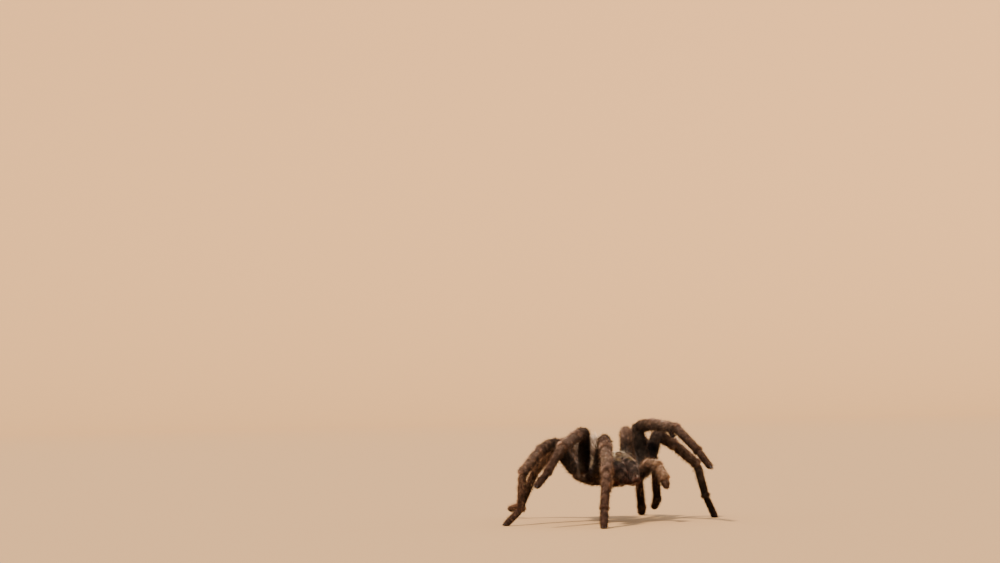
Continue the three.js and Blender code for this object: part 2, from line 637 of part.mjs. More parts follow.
// Male organ under a palp's tarsus: a small pear whose spout curls back.
function palpBulb(a, b) {
  const axis = b.clone().sub(a).normalize();
  const below = new THREE.Vector3(0, 1, 0).addScaledVector(axis, -axis.y).normalize();
  const at = (s, d) => a.clone().lerp(b, s).addScaledVector(below, d).toArray();
  return hook([at(0.75, 0.5), at(0.7, 1.3), at(0.45, 1.9), at(0.1, 1.95)], [0.55, 0.75, 0.5, 0.3, 0.12], 7);
}

// Palp: coxa with its chewing lobe, femur, patella with tibia, and the short tarsus.
function palpPieces(palp) {
  const j = palp.joints.map(vec);
  const root = coxaRoot(0, palp.side);
  const planes = [1, 3].map((i) => ({ at: j[i], normal: bend(j[i - 1], j[i], j[i + 1]) }));
  const back = (a, b) => up.clone().addScaledVector(b.clone().sub(a).normalize(), 0.01);
  const r = PALP_HALF;
  const femur = tube(j[0], j[1], back(j[0], j[1]), [[0, r[0], r[0], 0], [0.5, r[1], r[1] * 1.02, 0],
    [1, r[1], r[1], 0]], 10);
  const patella = tube(j[1], j[2], back(j[1], j[2]), [[0, r[1], r[1], 0], [0.5, r[1] * 1.02, r[1], 0],
    [1, r[2], r[2], 0]], 10);
  const tibia = tube(j[2], j[3], back(j[2], j[3]), [[0, r[2], r[2], 0], [0.5, r[2] * 1.02, r[2], 0],
    [1, r[3], r[3], 0]], 10);
  const tarsus = tube(j[3], j[4], back(j[3], j[4]), [[0, r[3], r[3], 0], [0.5, r[3] * 1.02, r[3], 0],
    [0.8, r[4], r[4], 0]], 10);
  return {
    coxa: largest(coxa(0, palp.side, j[1], 1.62).subtract(posed(jaw(palp.side, GAP)))
      .subtract(posed(fang(palp.side, GAP)))),
    femur: largest(keep(keep(femur, bend(root, j[0], j[1]), j[0]), planes[0].normal.clone().negate(), j[1])
      .subtract(posed(jaw(palp.side, GAP)))),
    patella_tibia: keep(keep(patella.add(tibia), planes[0].normal, j[1]),
      planes[1].normal.clone().negate(), j[3]),
    tarsus: keep(join([tarsus, palpBulb(j[3], j[4])]), planes[1].normal, j[3]),
  };
}

// ---- the whole spider ------------------------------------------------------------------

const coat = new THREE.MeshStandardMaterial({ color: 0x4a3226, roughness: 0.85, metalness: 0 });
const pale = new THREE.MeshStandardMaterial({ color: 0x9a7556, roughness: 0.8, metalness: 0 });
const abdomenCoat = new THREE.MeshStandardMaterial({ color: 0x6e4c38, roughness: 0.9, metalness: 0 });
const horn = new THREE.MeshStandardMaterial({ color: 0x140d0a, roughness: 0.25, metalness: 0 });
const skin = new THREE.MeshStandardMaterial({ color: 0x3a2a20, roughness: 0.7, metalness: 0 });

const spider = new THREE.Group();
spider.position.set(SHIFT_X, SHIFT_Y, 0);

function place(name, shape, material) {
  const mesh = shape.getMesh();
  const geometry = new THREE.BufferGeometry();
  geometry.setAttribute('position', new THREE.BufferAttribute(new Float32Array(mesh.vertProperties), 3));
  geometry.setIndex(new THREE.BufferAttribute(new Uint32Array(mesh.triVerts), 1));
  geometry.computeVertexNormals();
  const object = new THREE.Mesh(geometry, material.clone());
  object.name = name;
  spider.add(object);
}

place('carapace', posed(carapaceSolid(0)), pale);
place('eye_tubercle', posed(eyeTubercle()), horn);
place('body_sides', posed(sides(0)), skin);
place('sternum', posed(sternum(0)), coat);
const waist = (grow) => tube(new THREE.Vector3(0, 5.5, 16.3), new THREE.Vector3(0, 11.5, 18.4), up,
  [[0, PEDICEL_RADIUS * 1.1 + grow, PEDICEL_RADIUS + grow, 0],
    [0.5, PEDICEL_RADIUS + grow, PEDICEL_RADIUS * 0.9 + grow, 0],
    [1, PEDICEL_RADIUS * 1.2 + grow, PEDICEL_RADIUS + grow, 0]], 12);
place('pedicel', posed(largest(waist(0).subtract(sides(GAP)).subtract(abdomen(GAP))
  .subtract(carapaceSolid(GAP)))), skin);
const hairy = abdomenWithHair();
const cutters = [waist(GAP), spinneret(-1, GAP), spinneret(1, GAP), carapaceSolid(GAP)];
const clearHair = wasm.Manifold.union(cutters).subtract(abdomen(0.02));
place('abdomen', posed(largest(hairy.subtract(clearHair))), abdomenCoat);
for (const [label, side] of [['left', 1], ['right', -1]]) {
  place(`spinneret_${label}`, posed(largest(spinneret(side).subtract(abdomen(GAP)))), coat);
  place(`chelicera_${label}`, posed(largest(jaw(side, 0).subtract(carapaceSolid(GAP))
    .subtract(sides(GAP)).subtract(fang(side, GAP)))), coat);
  place(`fang_${label}`, posed(fang(side, 0)), horn);
}
for (const palp of PALPS) {
  for (const [part, shape] of Object.entries(palpPieces(palp))) {
    place(`${palp.name}_${part}`, shape, coat);
  }
}
for (const leg of LEGS) {
  for (const [part, shape] of Object.entries(legPieces(leg))) {
    place(`${leg.name}_${part}`, shape, coat);
  }
}

export default spider;
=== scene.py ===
# A male tarantula in mid-stride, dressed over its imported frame: one skin, its coat of hair
# in solid tapered hairs, and its eyes, fangs, claws and palp bulbs. Shapes are worked out in
# millimetres in the animal's own frame and put down in metres.
import math

import bmesh
import bpy
import numpy as np
from mathutils import Matrix, Vector


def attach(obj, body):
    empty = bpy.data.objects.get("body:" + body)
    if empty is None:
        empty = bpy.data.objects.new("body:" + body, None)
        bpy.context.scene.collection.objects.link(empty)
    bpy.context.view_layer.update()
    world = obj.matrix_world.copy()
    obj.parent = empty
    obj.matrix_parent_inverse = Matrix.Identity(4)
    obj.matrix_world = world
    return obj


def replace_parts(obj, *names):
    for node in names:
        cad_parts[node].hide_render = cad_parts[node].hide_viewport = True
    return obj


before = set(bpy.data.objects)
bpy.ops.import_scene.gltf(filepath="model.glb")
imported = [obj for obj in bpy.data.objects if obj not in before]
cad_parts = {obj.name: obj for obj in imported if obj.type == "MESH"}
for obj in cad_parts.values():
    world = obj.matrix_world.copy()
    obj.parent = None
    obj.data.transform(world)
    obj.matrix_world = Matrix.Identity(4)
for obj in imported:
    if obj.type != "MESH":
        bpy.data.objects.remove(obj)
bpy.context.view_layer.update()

# ---- Camera ----------------------------------------------------------------------------
# A long lens close to the ground, in front of the spider and a little to its right. The
# body's middle stands right of and below the middle of a frame of 1000 by 563.
MM = 0.001
BODY_PLACE = np.array([0.5, -5.95, 0.0])  # of the body's own origin
RIDE_HEIGHT = 17.5  # body's middle above the floor
FRAME_WIDE, FRAME_HIGH = 1000, 563
CAMERA_AZIMUTH, CAMERA_RISE, CAMERA_ROLL = -23.172, 1.540, -1.252  # degrees
CAMERA_DISTANCE = 900.0
SPAN_PER_PIXEL = 0.348  # millimetres at the body
BODY_SPOT = (611.16, 471.04)
SENSOR = 36.0


def camera_axes():
    a, e, roll = (math.radians(x) for x in (CAMERA_AZIMUTH, CAMERA_RISE, CAMERA_ROLL))
    back = Vector((math.sin(a) * math.cos(e), -math.cos(a) * math.cos(e), math.sin(e)))
    right = Vector((math.cos(a), math.sin(a), 0))
    up = right.cross(-back)
    right, up = (right * math.cos(roll) + up * math.sin(roll),
                 up * math.cos(roll) - right * math.sin(roll))
    return right, up, back


def aim_camera():
    right, up, back = camera_axes()
    focus = CAMERA_DISTANCE / SPAN_PER_PIXEL
    spot = (BODY_SPOT[0] - FRAME_WIDE / 2, FRAME_HIGH / 2 - BODY_SPOT[1])
    ray = (right * spot[0] + up * spot[1] - back * focus).normalized()
    turn = ray.rotation_difference(-back).to_matrix()
    right, up, back = turn @ right, turn @ up, turn @ back
    data = bpy.data.cameras.new("camera")
    data.sensor_width = SENSOR
    data.lens = focus * SENSOR / FRAME_WIDE
    data.clip_start, data.clip_end = 0.02, 30
    camera = bpy.data.objects.new("camera", data)
    place = Vector(BODY_PLACE) + Vector((0, 0, RIDE_HEIGHT)) + camera_axes()[2] * CAMERA_DISTANCE
    facing = Matrix((right, up, back)).transposed().to_4x4()
    camera.matrix_world = Matrix.Translation(place * MM) @ facing
    bpy.context.scene.collection.objects.link(camera)
    bpy.context.scene.camera = camera


aim_camera()

# ---- Floor, backdrop and light ---------------------------------------------------------
# A plain pale floor that turns up into a low round backdrop far away, lit from within where
# it turns from the key light, so that both look alike. The key is warm and high, on the
# spider's right, and a soft sky fills in from all round.
FLOOR_RADIUS, COVE_RADIUS, WALL_HEIGHT = 4.0, 1.0, 1.3  # metres
FLOOR_TURNS, COVE_STEPS = 96, 12
FLOOR_COLOUR = (190, 150, 104)
KEY_DIRECTION = (-0.50, -0.34, 0.80)
KEY_COLOUR = (255, 236, 208)
KEY_STRENGTH, KEY_ANGLE = 6.2, 6
GLOW_STRENGTH, GLOW_HEIGHT = 0.75 * KEY_STRENGTH * KEY_DIRECTION[2] / math.pi, 1.0
SKY_COLOUR = (232, 238, 250)
SKY_STRENGTH = 1.2


def dye(colour):
    """A colour given in the usual 0 to 255 as the linear values that Blender mixes."""
    c = np.asarray(colour, float) / 255
    return np.where(c <= 0.04045, c / 12.92, ((c + 0.055) / 1.055) ** 2.4)


def set_inputs(node, **values):
    """Sets inputs of a node by name, with _ for a space, and gives the node back."""
    for name, value in values.items():
        node.inputs[name.replace("_", " ")].default_value = value
    return node


def node_material(name, roughness, specular=0.5):
    """A new material, its nodes, links and main shader."""
    material = bpy.data.materials.new(name)
    material.use_nodes = True
    nodes, links = material.node_tree.nodes, material.node_tree.links
    shader = set_inputs(nodes["Principled BSDF"], Roughness=roughness, Specular_IOR_Level=specular)
    return material, nodes, links, shader


def plain_mesh(name, points, faces):
    mesh = bpy.data.meshes.new(name)
    mesh.from_pydata(points, [], faces)
    return mesh


def scene_object(name, mesh, *materials):
    """A smooth mesh with its materials, put in the scene."""
    mesh.shade_smooth()
    for material in materials:
        mesh.materials.append(material)
    piece = bpy.data.objects.new(name, mesh)
    bpy.context.scene.collection.objects.link(piece)
    return piece


def floor_material():
    material, nodes, links, shader = node_material("matt_sand_paint", 0.9, 0.2)
    colour = (*dye(FLOOR_COLOUR), 1)
    set_inputs(shader, Base_Color=colour, Emission_Color=colour)
    where = nodes.new("ShaderNodeTexCoord")
    split = nodes.new("ShaderNodeSeparateXYZ")
    links.new(where.outputs["Object"], split.inputs[0])
    glow = set_inputs(nodes.new("ShaderNodeMapRange"), From_Max=GLOW_HEIGHT, To_Max=GLOW_STRENGTH)
    links.new(split.outputs["Z"], glow.inputs["Value"])
    links.new(glow.outputs["Result"], shader.inputs["Emission Strength"])
    return material


def make_floor():
    profile = [(FLOOR_RADIUS, 0.0)]
    for step in range(1, COVE_STEPS + 1):
        a = math.radians(90 * step / COVE_STEPS)
        profile.append((FLOOR_RADIUS + COVE_RADIUS * math.sin(a), COVE_RADIUS * (1 - math.cos(a))))
    profile.append((FLOOR_RADIUS + COVE_RADIUS, WALL_HEIGHT))
    high = len(profile)
    points, faces = [(0, 0, 0)], []
    for k in range(FLOOR_TURNS):
        a = 2 * math.pi * k / FLOOR_TURNS
        points += [(r * math.cos(a), r * math.sin(a), z) for r, z in profile]
        here, there = 1 + k * high, 1 + (k + 1) % FLOOR_TURNS * high
        faces.append((0, here, there))
        faces += [(here + i, here + i + 1, there + i + 1, there + i) for i in range(high - 1)]
    floor = scene_object("floor", plain_mesh("floor", points, faces), floor_material())
    floor.visible_shadow = False
    return floor


def light_scene():
    sun = bpy.data.lights.new("key_light", "SUN")
    sun.energy = KEY_STRENGTH
    sun.angle = math.radians(KEY_ANGLE)
    sun.color = dye(KEY_COLOUR)
    lamp = bpy.data.objects.new("key_light", sun)
    lamp.rotation_mode = "QUATERNION"
    lamp.rotation_quaternion = Vector(KEY_DIRECTION).to_track_quat("Z", "Y")
    bpy.context.scene.collection.objects.link(lamp)
    sky = bpy.data.worlds.new("soft_sky")
    sky.use_nodes = True
    background = sky.node_tree.nodes["Background"]
    set_inputs(background, Color=(*dye(SKY_COLOUR), 1), Strength=SKY_STRENGTH)
    bpy.context.scene.world = sky


make_floor()
light_scene()

# ---- Carapace --------------------------------------------------------------------------
# The horny shield over the front of the body: blunt and raised at the head, with the pit
# and the shallow furrows that spread from it, under close-lying pale golden hair. How skin
# and hair are made, here and in every section below, stands in this one.
BODY_ROLL = 1.88  # degrees, left side up
SHIELD_LENGTH, SHIELD_HALF_WIDTH, SHIELD_MIDDLE_Y = 17.2, 7.6, -0.3
SHIELD_FRONT_TAPER = 0.14
SHIELD_FLOOR_Z, SHIELD_EDGE, SHIELD_TOP_Z = 18.4, 0.75, 24.35
FOVEA_Y = 1.8
SHIELD_COAT = 0.16  # depth of its hair, by which the skin lies inside
# The third colour is the palest hair, used also for the painted highlight on the top and front rim.
SHIELD_DEEP, SHIELD_TIP, SHIELD_PALE_AND_HIGHLIGHT = (112, 84, 62), (244, 216, 174), (255, 236, 202)
# Painted shadow: the dark of the front face below the head, between the carapace and the jaws.
SHIELD_BROW_SHADOW = (44, 33, 28)
SHEEN_COLOUR = (232, 200, 168)  # of the light that catches on any hair
FURROW_ANGLES = (38, 72, 108, 142)  # degrees from the rear, each side of the pit
FURROW_DEPTH, HEAD_EDGE_DEPTH, PIT_DEPTH = 0.13, 0.2, 0.55
SHIELD_TURNS, SHIELD_STEPS = 96, 34
UNDER_RINGS = (  # share out, rise
    (0.05, 0.1), (0.6, 0.1), (0.93, 0.15), (0.975, 0.35), (0.99, 0.55))
BROW_SHADOW_Z = 22.75  # where the painted shadow on the front face begins
CREST_HIGHLIGHT_DROP = 2.0  # how far down the painted highlight on the top reaches

random = np.random.default_rng(20117)
roll = math.radians(BODY_ROLL)
level_to_stance = np.array([[math.cos(roll), 0, -math.sin(roll)], [0, 1, 0],
                            [math.sin(roll), 0, math.cos(roll)]])
skin_sheets = []  # every stretch of skin, for the one skin at the end
atlas = {"x": 0.0, "y": 0.0, "shelf": 0.0}
ATLAS_SIZE = 118.0  # millimetres of skin across the unit square
ATLAS_GAP = 1.0


def stance(points):
    """Points of the level body in the rolled, standing body's place."""
    middle = np.array([0, 0, RIDE_HEIGHT])
    return (points - middle) @ level_to_stance.T + middle + BODY_PLACE


def once_round(count):
    """Angles evenly once round, from 0."""
    return np.linspace(0, 2 * np.pi, count, endpoint=False)


def unit(v):
    return v / np.maximum(np.linalg.norm(v, axis=-1, keepdims=True), 1e-9)


def mix(a, b, share):
    share = np.asarray(share)[..., None]
    return np.asarray(a) * (1 - share) + np.asarray(b) * share


def bell(x, width):
    return np.exp(-((x / width) ** 2))


def chart_place(wide, high):
    """A free place in the unwrap for a sheet of that size."""
    if atlas["x"] + wide + ATLAS_GAP > ATLAS_SIZE:
        atlas["x"], atlas["y"], atlas["shelf"] = 0.0, atlas["y"] + atlas["shelf"], 0.0
    x, y = atlas["x"] + ATLAS_GAP / 2, atlas["y"] + ATLAS_GAP / 2
    atlas["x"] += wide + ATLAS_GAP
    atlas["shelf"] = max(atlas["shelf"], high + ATLAS_GAP)
    return np.array([x, y])


def unrolled(rings):
    """Chart of a tube: round it across the sheet, and along it up the sheet."""
    around = np.linalg.norm(np.roll(rings, -1, 1) - rings, axis=-1)
    girth = around.sum(1).max()
    steps = np.linalg.norm(np.diff(rings.mean(1), axis=0), axis=-1)
    slant = np.linalg.norm(np.diff(rings, axis=0), axis=-1).mean(1)
    along = np.concatenate([[0], np.cumsum(np.maximum(steps, slant))])
    u = np.linspace(0, girth, rings.shape[1] + 1)
    chart = np.stack(np.broadcast_arrays(u[None], along[:, None]), -1)
    return chart + chart_place(girth, along[-1])


def skin_sheet(rings, deep, chart=None, lie=None):
    """A closed tube of rings as a stretch of skin, with what its hair needs to know."""
    ahead = np.gradient(rings, axis=0)
    around = np.roll(rings, -1, 1) - np.roll(rings, 1, 1)
    normal = unit(np.cross(around, ahead))
    outward = rings - rings.mean(1, keepdims=True)
    if (normal * outward).sum() < 0:
        normal = -normal
    lie = ahead if lie is None else lie
    lie = unit(lie - normal * (lie * normal).sum(-1, keepdims=True))
    sheet = {
        "rings": rings, "normal": normal, "lie": lie,
        "deep": np.broadcast_to(deep, rings.shape).copy(),
        "chart": (unrolled(rings) if chart is None else chart) / ATLAS_SIZE,
    }
    skin_sheets.append(sheet)
    return sheet


HAIR_PATCH = 0.003  # across each hair's own patch of the unwrap
HAIR_VARIETY = 0.25  # how far the hairs of one kind differ in length
HAIR_FLATNESS = 0.7  # height of a hair's section over its width
HAIR_TAPER = 0.45  # share of its width that a hair loses before its point
HAIR_SINK = 0.05  # how deep a hair's foot stands in the skin
HAIR_WAVES = ([2.1, 1.3, 1.7], [-1.1, 2.3, 0.9])  # along which hair gathers in clumps
SHADE_MIDDLE, SHADE_SPREAD = -0.08, 0.36  # of the hairs' own shades, as natural logarithms
LEAST_HEIGHT = 0.02  # no hair reaches the floor
STRAIGHT_UP = np.array([0, 0, 1.0])


def closed(field, size, depth=()):
    """A field over a whole sheet, its first column repeated at the end to close it."""
    field = np.broadcast_to(field, size + depth)
    return np.concatenate([field, field[:, :1]], 1)


def scatter(p, crowd):
    """Evenly spread places on a closed sheet of points, so many to the square millimetre:
    the row and column of a place's cell, and its shares across the cell."""
    d1, d2 = p[1:, 1:] - p[:-1, :-1], p[1:, :-1] - p[:-1, 1:]
    area = 0.5 * np.linalg.norm(np.cross(d1, d2), axis=-1)
    corners = crowd[1:, 1:] + crowd[:-1, :-1] + crowd[1:, :-1] + crowd[:-1, 1:]
    weight = (area * corners / 4).ravel()
    total = np.cumsum(weight)
    count = int(total[-1])
    if count < 1:
        return None
    pick = np.searchsorted(total, (np.arange(count) + random.random(count)) * total[-1] / count)
    i, j = np.divmod(np.minimum(pick, weight.size - 1), p.shape[1] - 1)
    s, t = random.random((2, count))
    return i, j, s, t


def at(field, places):
    """The values of a closed field at scattered places."""
    i, j, s, t = places
    lead = (slice(None),) + (None,) * (field.ndim - 2)
    return (field[i, j] * ((1 - s) * (1 - t))[lead] + field[i + 1, j] * (s * (1 - t))[lead]
            + field[i, j + 1] * ((1 - s) * t)[lead] + field[i + 1, j + 1] * (s * t)[lead])


def hair_faces(segments):
    """Triangles of one hair: its foot, three sides to each segment, and a point."""
    tip = 3 * segments
    faces = [(0, 2, 1)]
    for foot in range(0, tip - 3, 3):
        for k in range(3):
            a, b = foot + k, foot + (k + 1) % 3
            faces += [(a, b, b + 3), (a, b + 3, a + 3)]
    return np.array(faces + [(tip - 3 + k, tip - 3 + (k + 1) % 3, tip) for k in range(3)])


def comb(sheet, density, length, lift, width, tip, segments=2, settle=0.5, spread=0.25, deep=None):
    """Plants tapered three-sided hairs on a sheet, density of them to the square millimetre.
    They rise from the skin at lift degrees, settle to a share of that towards the tip, and
    follow the sheet's lie. Their colour runs from the sheet's deep one, or from deep, to tip."""
    size = sheet["rings"].shape[:2]
    skin = closed(sheet["rings"], size, (3,))
    places = scatter(skin, closed(density, size))
    if places is None:
        return None
    count = len(places[0])
    root, normal = at(skin, places), unit(at(closed(sheet["normal"], size, (3,)), places))
    along = at(closed(sheet["lie"], size, (3,)), places)
    along = unit(along - normal * (along * normal).sum(-1, keepdims=True))
    side = np.cross(normal, along)
    clump = np.sin(root @ HAIR_WAVES[0]) + np.sin(root @ HAIR_WAVES[1] + 2)
    yaw = random.normal(0, spread, count) + 0.7 * spread * clump
    along = along * np.cos(yaw)[:, None] + side * np.sin(yaw)[:, None]
    side = np.cross(normal, along)
    long = at(closed(length, size), places)
    long = long * random.uniform(1 - HAIR_VARIETY, 1 + HAIR_VARIETY, count)
    rise = np.radians(at(closed(lift, size), places)) * random.uniform(0.7, 1.3, count)
    wide = at(closed(width, size), places) * random.uniform(0.8, 1.2, count)
    points, spots = [], []
    spine = root - normal * HAIR_SINK
    for ring in range(segments):
        share = ring / segments
        turn = rise * (1 - (1 - settle) * share)
        step = along * np.cos(turn)[:, None] + normal * np.sin(turn)[:, None]
        high = np.cross(step, side)
        girth = (wide * (1 - HAIR_TAPER * share) / 2)[:, None]
        for k, corner in enumerate((90, 210, 330)):
            a = math.radians(corner)
            points.append(spine + side * girth * math.cos(a)
                          + high * girth * HAIR_FLATNESS * math.sin(a))
            spots.append(((k - 1) * 0.4, share - 0.5 - 0.12 * (k == 1)))
        spine = spine + step * (long / segments)[:, None]
    points = np.stack(points + [spine], 1)
    points[..., 2] = np.maximum(points[..., 2], LEAST_HEIGHT)
    uv = at(sheet["chart"], places)[:, None] + np.array(spots + [(0, 0.5)]) * HAIR_PATCH
    low = at(closed(sheet["deep"] if deep is None else deep, size, (3,)), places)
    high = at(closed(tip, size, (3,)), places)
    shares = np.append(np.repeat(np.arange(segments) / segments, 3), 1.0)[:, None]
    tint = low[:, None] * (1 - shares) + high[:, None] * shares
    shade = random.normal(SHADE_MIDDLE, SHADE_SPREAD, count) + 0.2 * clump
    tint = tint * np.exp(shade)[:, None, None]
    faces = hair_faces(segments) + (3 * segments + 1) * np.arange(count)[:, None, None]
    return points.reshape(-1, 3), faces.reshape(-1, 3), tint.reshape(-1, 3), uv.reshape(-1, 2)


def cloud(nodes, links, scale, detail):
    """A noise through the space that an object stands in."""
    where = nodes.new("ShaderNodeTexCoord")
    noise = set_inputs(nodes.new("ShaderNodeTexNoise"), Scale=scale, Detail=detail)
    links.new(where.outputs["Object"], noise.inputs["Vector"])
    return noise


def dappled_tint(nodes, links, shader, scale, detail, least, most):
    """Colours a shader by the tint of its mesh, darker and paler from place to place."""
    tint = nodes.new("ShaderNodeAttribute")
    tint.attribute_name = "tint"
    patchy = cloud(nodes, links, scale, detail)
    amount = nodes.new("ShaderNodeMapRange")
    set_inputs(amount, From_Min=0.3, From_Max=0.7, To_Min=least, To_Max=most)
    links.new(patchy.outputs["Fac"], amount.inputs["Value"])
    shade = nodes.new("ShaderNodeVectorMath")
    shade.operation = "SCALE"
    links.new(tint.outputs["Color"], shade.inputs[0])
    links.new(amount.outputs["Result"], shade.inputs["Scale"])
    links.new(shade.outputs["Vector"], shader.inputs["Base Color"])


def coat_material(name, roughness=0.5, sheen=0.06, specular=0.2):
    """Hair: the tint that each hair carries, a little uneven from place to place."""
    material, nodes, links, shader = node_material(name, roughness, specular)
    set_inputs(shader, Sheen_Weight=sheen, Sheen_Roughness=0.4, Sheen_Tint=(*dye(SHEEN_COLOUR), 1))
    dappled_tint(nodes, links, shader, 650, 3, 0.4, 1.65)
    return material


def tinted_piece(name, mesh, tint, spots, material):
    """A piece with a tint at each point and its OFBake chart, that rides on the frame."""
    colours = mesh.attributes.new("tint", "FLOAT_COLOR", "POINT")
    rgba = np.c_[np.clip(tint, 0, 1), np.ones(len(tint))]
    colours.data.foreach_set("color", rgba.astype(np.float32).ravel())
    chart = mesh.uv_layers.new(name="OFBake")
    chart.uv.foreach_set("vector", np.asarray(spots, np.float32).ravel())
    piece = scene_object(name, mesh, material)
    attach(piece, "root")
    return piece


def coat_piece(name, batches, material):
    """Joins batches of hair into one piece."""
    batches = [b for b in batches if b is not None]
    start = np.cumsum([0] + [len(b[0]) for b in batches])
    points, tint, uv = (np.concatenate([b[k] for b in batches]) for k in (0, 2, 3))
    faces = np.concatenate([b[1] + k for b, k in zip(batches, start)])
    mesh = bpy.data.meshes.new(name)
    mesh.vertices.add(len(points))
    mesh.vertices.foreach_set("co", (points * MM).astype(np.float32).ravel())
    mesh.loops.add(faces.size)
    mesh.loops.foreach_set("vertex_index", faces.astype(np.int32).ravel())
    mesh.polygons.add(len(faces))
    mesh.polygons.foreach_set("loop_start", np.arange(0, faces.size, 3, dtype=np.int32))
    mesh.update(calc_edges=True)
    return tinted_piece(name, mesh, tint, uv[faces.ravel()], material)


def shield_point(angle, scale, grow):
    """Outline of the shield from above at an angle from its rear, in and out by scale."""
    c, s = np.cos(angle), np.sin(angle)
    power = np.where(c < 0, 2 / 2.9, 2 / 2.25)
    along = np.sign(c) * np.abs(c) ** power
    across = np.sign(s) * np.abs(s) ** power
    narrow = 1 - SHIELD_FRONT_TAPER * np.maximum(0, -along) ** 1.5
    return (across * (SHIELD_HALF_WIDTH + grow) * narrow * scale,
            SHIELD_MIDDLE_Y + along * (SHIELD_LENGTH / 2 + grow) * scale)


def shield_height(f, angle, y):
    """Height of the smooth shield a share f of the way out, at an angle from its rear."""
    head = 0.09 * bell(y + 5.2, 3.0)
    dip = 0.11 * bell(y - FOVEA_Y, 1.4)
    ridge = 0.91 + head - dip - 0.16 * np.clip((y - 3) / 5, 0, 1)
    power = 2.5 + 3.5 * np.maximum(0, -np.cos(angle)) ** 2
    dome = np.maximum(0, 1 - f ** power) ** 0.6
    edge = SHIELD_FLOOR_Z + SHIELD_EDGE
    return edge + (SHIELD_TOP_Z - SHIELD_FLOOR_Z - SHIELD_EDGE) * dome * ridge


def shield_relief(x, y):
    """The pit, the furrows that spread from it, and the two that bound the head."""
    from_pit = np.hypot(x, y - FOVEA_Y)
    bearing = np.degrees(np.arctan2(np.abs(x), y - FOVEA_Y))
    reach = np.clip((from_pit - 1.0) / 1.2, 0, 1) * np.clip((7.0 - from_pit) / 2.5, 0, 1)
    furrows = sum(bell(bearing - a, 5.5) for a in FURROW_ANGLES)
    head_edge = bell(np.abs(x) - (1.3 + 0.36 * (FOVEA_Y - y)), 0.5) * (y < FOVEA_Y)
    pit = bell(x, 1.0) * bell(y - FOVEA_Y, 0.34)
    head_edge = head_edge * np.clip((FOVEA_Y - y) / 2, 0, 1)
    return -FURROW_DEPTH * furrows * reach - HEAD_EDGE_DEPTH * head_edge - PIT_DEPTH * pit


def carapace_rings():
    angle = once_round(SHIELD_TURNS)
    rings = []
    for f, rise in UNDER_RINGS:
        x, y = shield_point(angle, f, -SHIELD_COAT)
        rings.append(np.stack([x, y, np.full(SHIELD_TURNS, SHIELD_FLOOR_Z + rise)], -1))
    shares = 1 - np.linspace(0.02, 1, SHIELD_STEPS)[:-1] ** 1.15
    for f in (0.995, *shares, 0.015):
        x, y = shield_point(angle, f, -SHIELD_COAT)
        relief = shield_relief(x, y) * np.clip((1 - f) * 6, 0, 1)
        rings.append(np.stack([x, y, shield_height(f, angle, y) - SHIELD_COAT + relief], -1))
    return np.array(rings)


def build_carapace():
    level = carapace_rings()
    chart = closed(level[..., :2], level.shape[:2], (2,))
    under = np.arange(len(level)) < len(UNDER_RINGS)
    chart[under, :, 0] += 2 * SHIELD_HALF_WIDTH + 2
    chart += [SHIELD_HALF_WIDTH, SHIELD_LENGTH / 2 - SHIELD_MIDDLE_Y]
    chart += chart_place(4 * SHIELD_HALF_WIDTH + 3, SHIELD_LENGTH + 1)
    x, y, z = np.moveaxis(level, -1, 0)
    away = np.stack([x, (y - FOVEA_Y) + 1.5 * (y > -4), np.zeros_like(x)], -1)
    forward = np.stack([x * 0.15, -np.ones_like(x), np.zeros_like(x)], -1)
    lie = mix(unit(away), forward, np.clip((-y - 3.5) / 2.5, 0, 1) * bell(x, 4.5))
    hollow = np.clip(-shield_relief(x, y) / 0.2, 0, 1)
    deep = mix(dye(SHIELD_DEEP), dye(SHIELD_DEEP) * 0.3, hollow)
    sheet = skin_sheet(stance(level), deep, chart, lie @ level_to_stance.T)
    top = np.where(under, 0.0, 1.0)[:, None]
    out = np.hypot(x / SHIELD_HALF_WIDTH, (y - SHIELD_MIDDLE_Y) / (SHIELD_LENGTH / 2))
    rim = np.clip((out - 0.78) / 0.13, 0, 1)
    # Painted highlight: hair nearly white over the top and along the front rim, the skin under the
    # front of the top paler; the rim is darker at the sides and rear.
    crest_highlight = 0.8 * np.clip((z - SHIELD_TOP_Z + CREST_HIGHLIGHT_DROP) / 1.9, 0, 1) * top
    front = np.clip((-y - 1) / 3, 0, 1)
    # Painted shadow: the front face below the head goes dark, in hair and skin.
    brow_shadow = np.clip((BROW_SHADOW_Z - z) / 0.45, 0, 1) * np.clip((-y - 5) / 1.5, 0, 1)
    dull = dye(SHIELD_TIP) * 0.4
    tip = mix(dye(SHIELD_TIP), dye(SHIELD_PALE_AND_HIGHLIGHT), np.maximum(rim * front, crest_highlight))
    tip = mix(tip, dull, rim * (1 - front) * 0.8)
    tip = mix(tip, dye(SHIELD_DEEP), hollow * 0.6)
    tip = mix(tip, dye(SHIELD_BROW_SHADOW), brow_shadow)
    sheet["deep"][:] = mix(sheet["deep"], dull, 0.45 * crest_highlight * front * (1 - hollow))
    sheet["deep"][:] = mix(sheet["deep"], dye(SHIELD_BROW_SHADOW) * 0.5, brow_shadow)
    edge = (out > 0.93) * top * (1 - brow_shadow)
    # The edge hair carries the painted highlight at the front, and is darker towards the sides and
    # rear.
    edge_highlight_tip = mix(dull, dye(SHIELD_PALE_AND_HIGHLIGHT), front)
    coat = [
        comb(sheet, 70 * top * (1 - 0.5 * hollow), 0.62, 15, 0.065, tip, 1, spread=0.35),
        comb(sheet, 14 * top * (1 - 0.4 * hollow), 1.0, 20, 0.065, tip, 1, spread=0.4),
        comb(sheet, 34 * edge, 1.3, 24, 0.085, edge_highlight_tip, 2, 0.6, spread=0.3),
        comb(sheet, 0.5 * top, 1.8, 60, 0.06, dye(SHIELD_TIP), 2, 0.7, spread=0.6),
    ]
    coat_piece("coat_carapace", coat, coat_material("golden_hair", 0.4, 0.2, 0.8))


build_carapace()

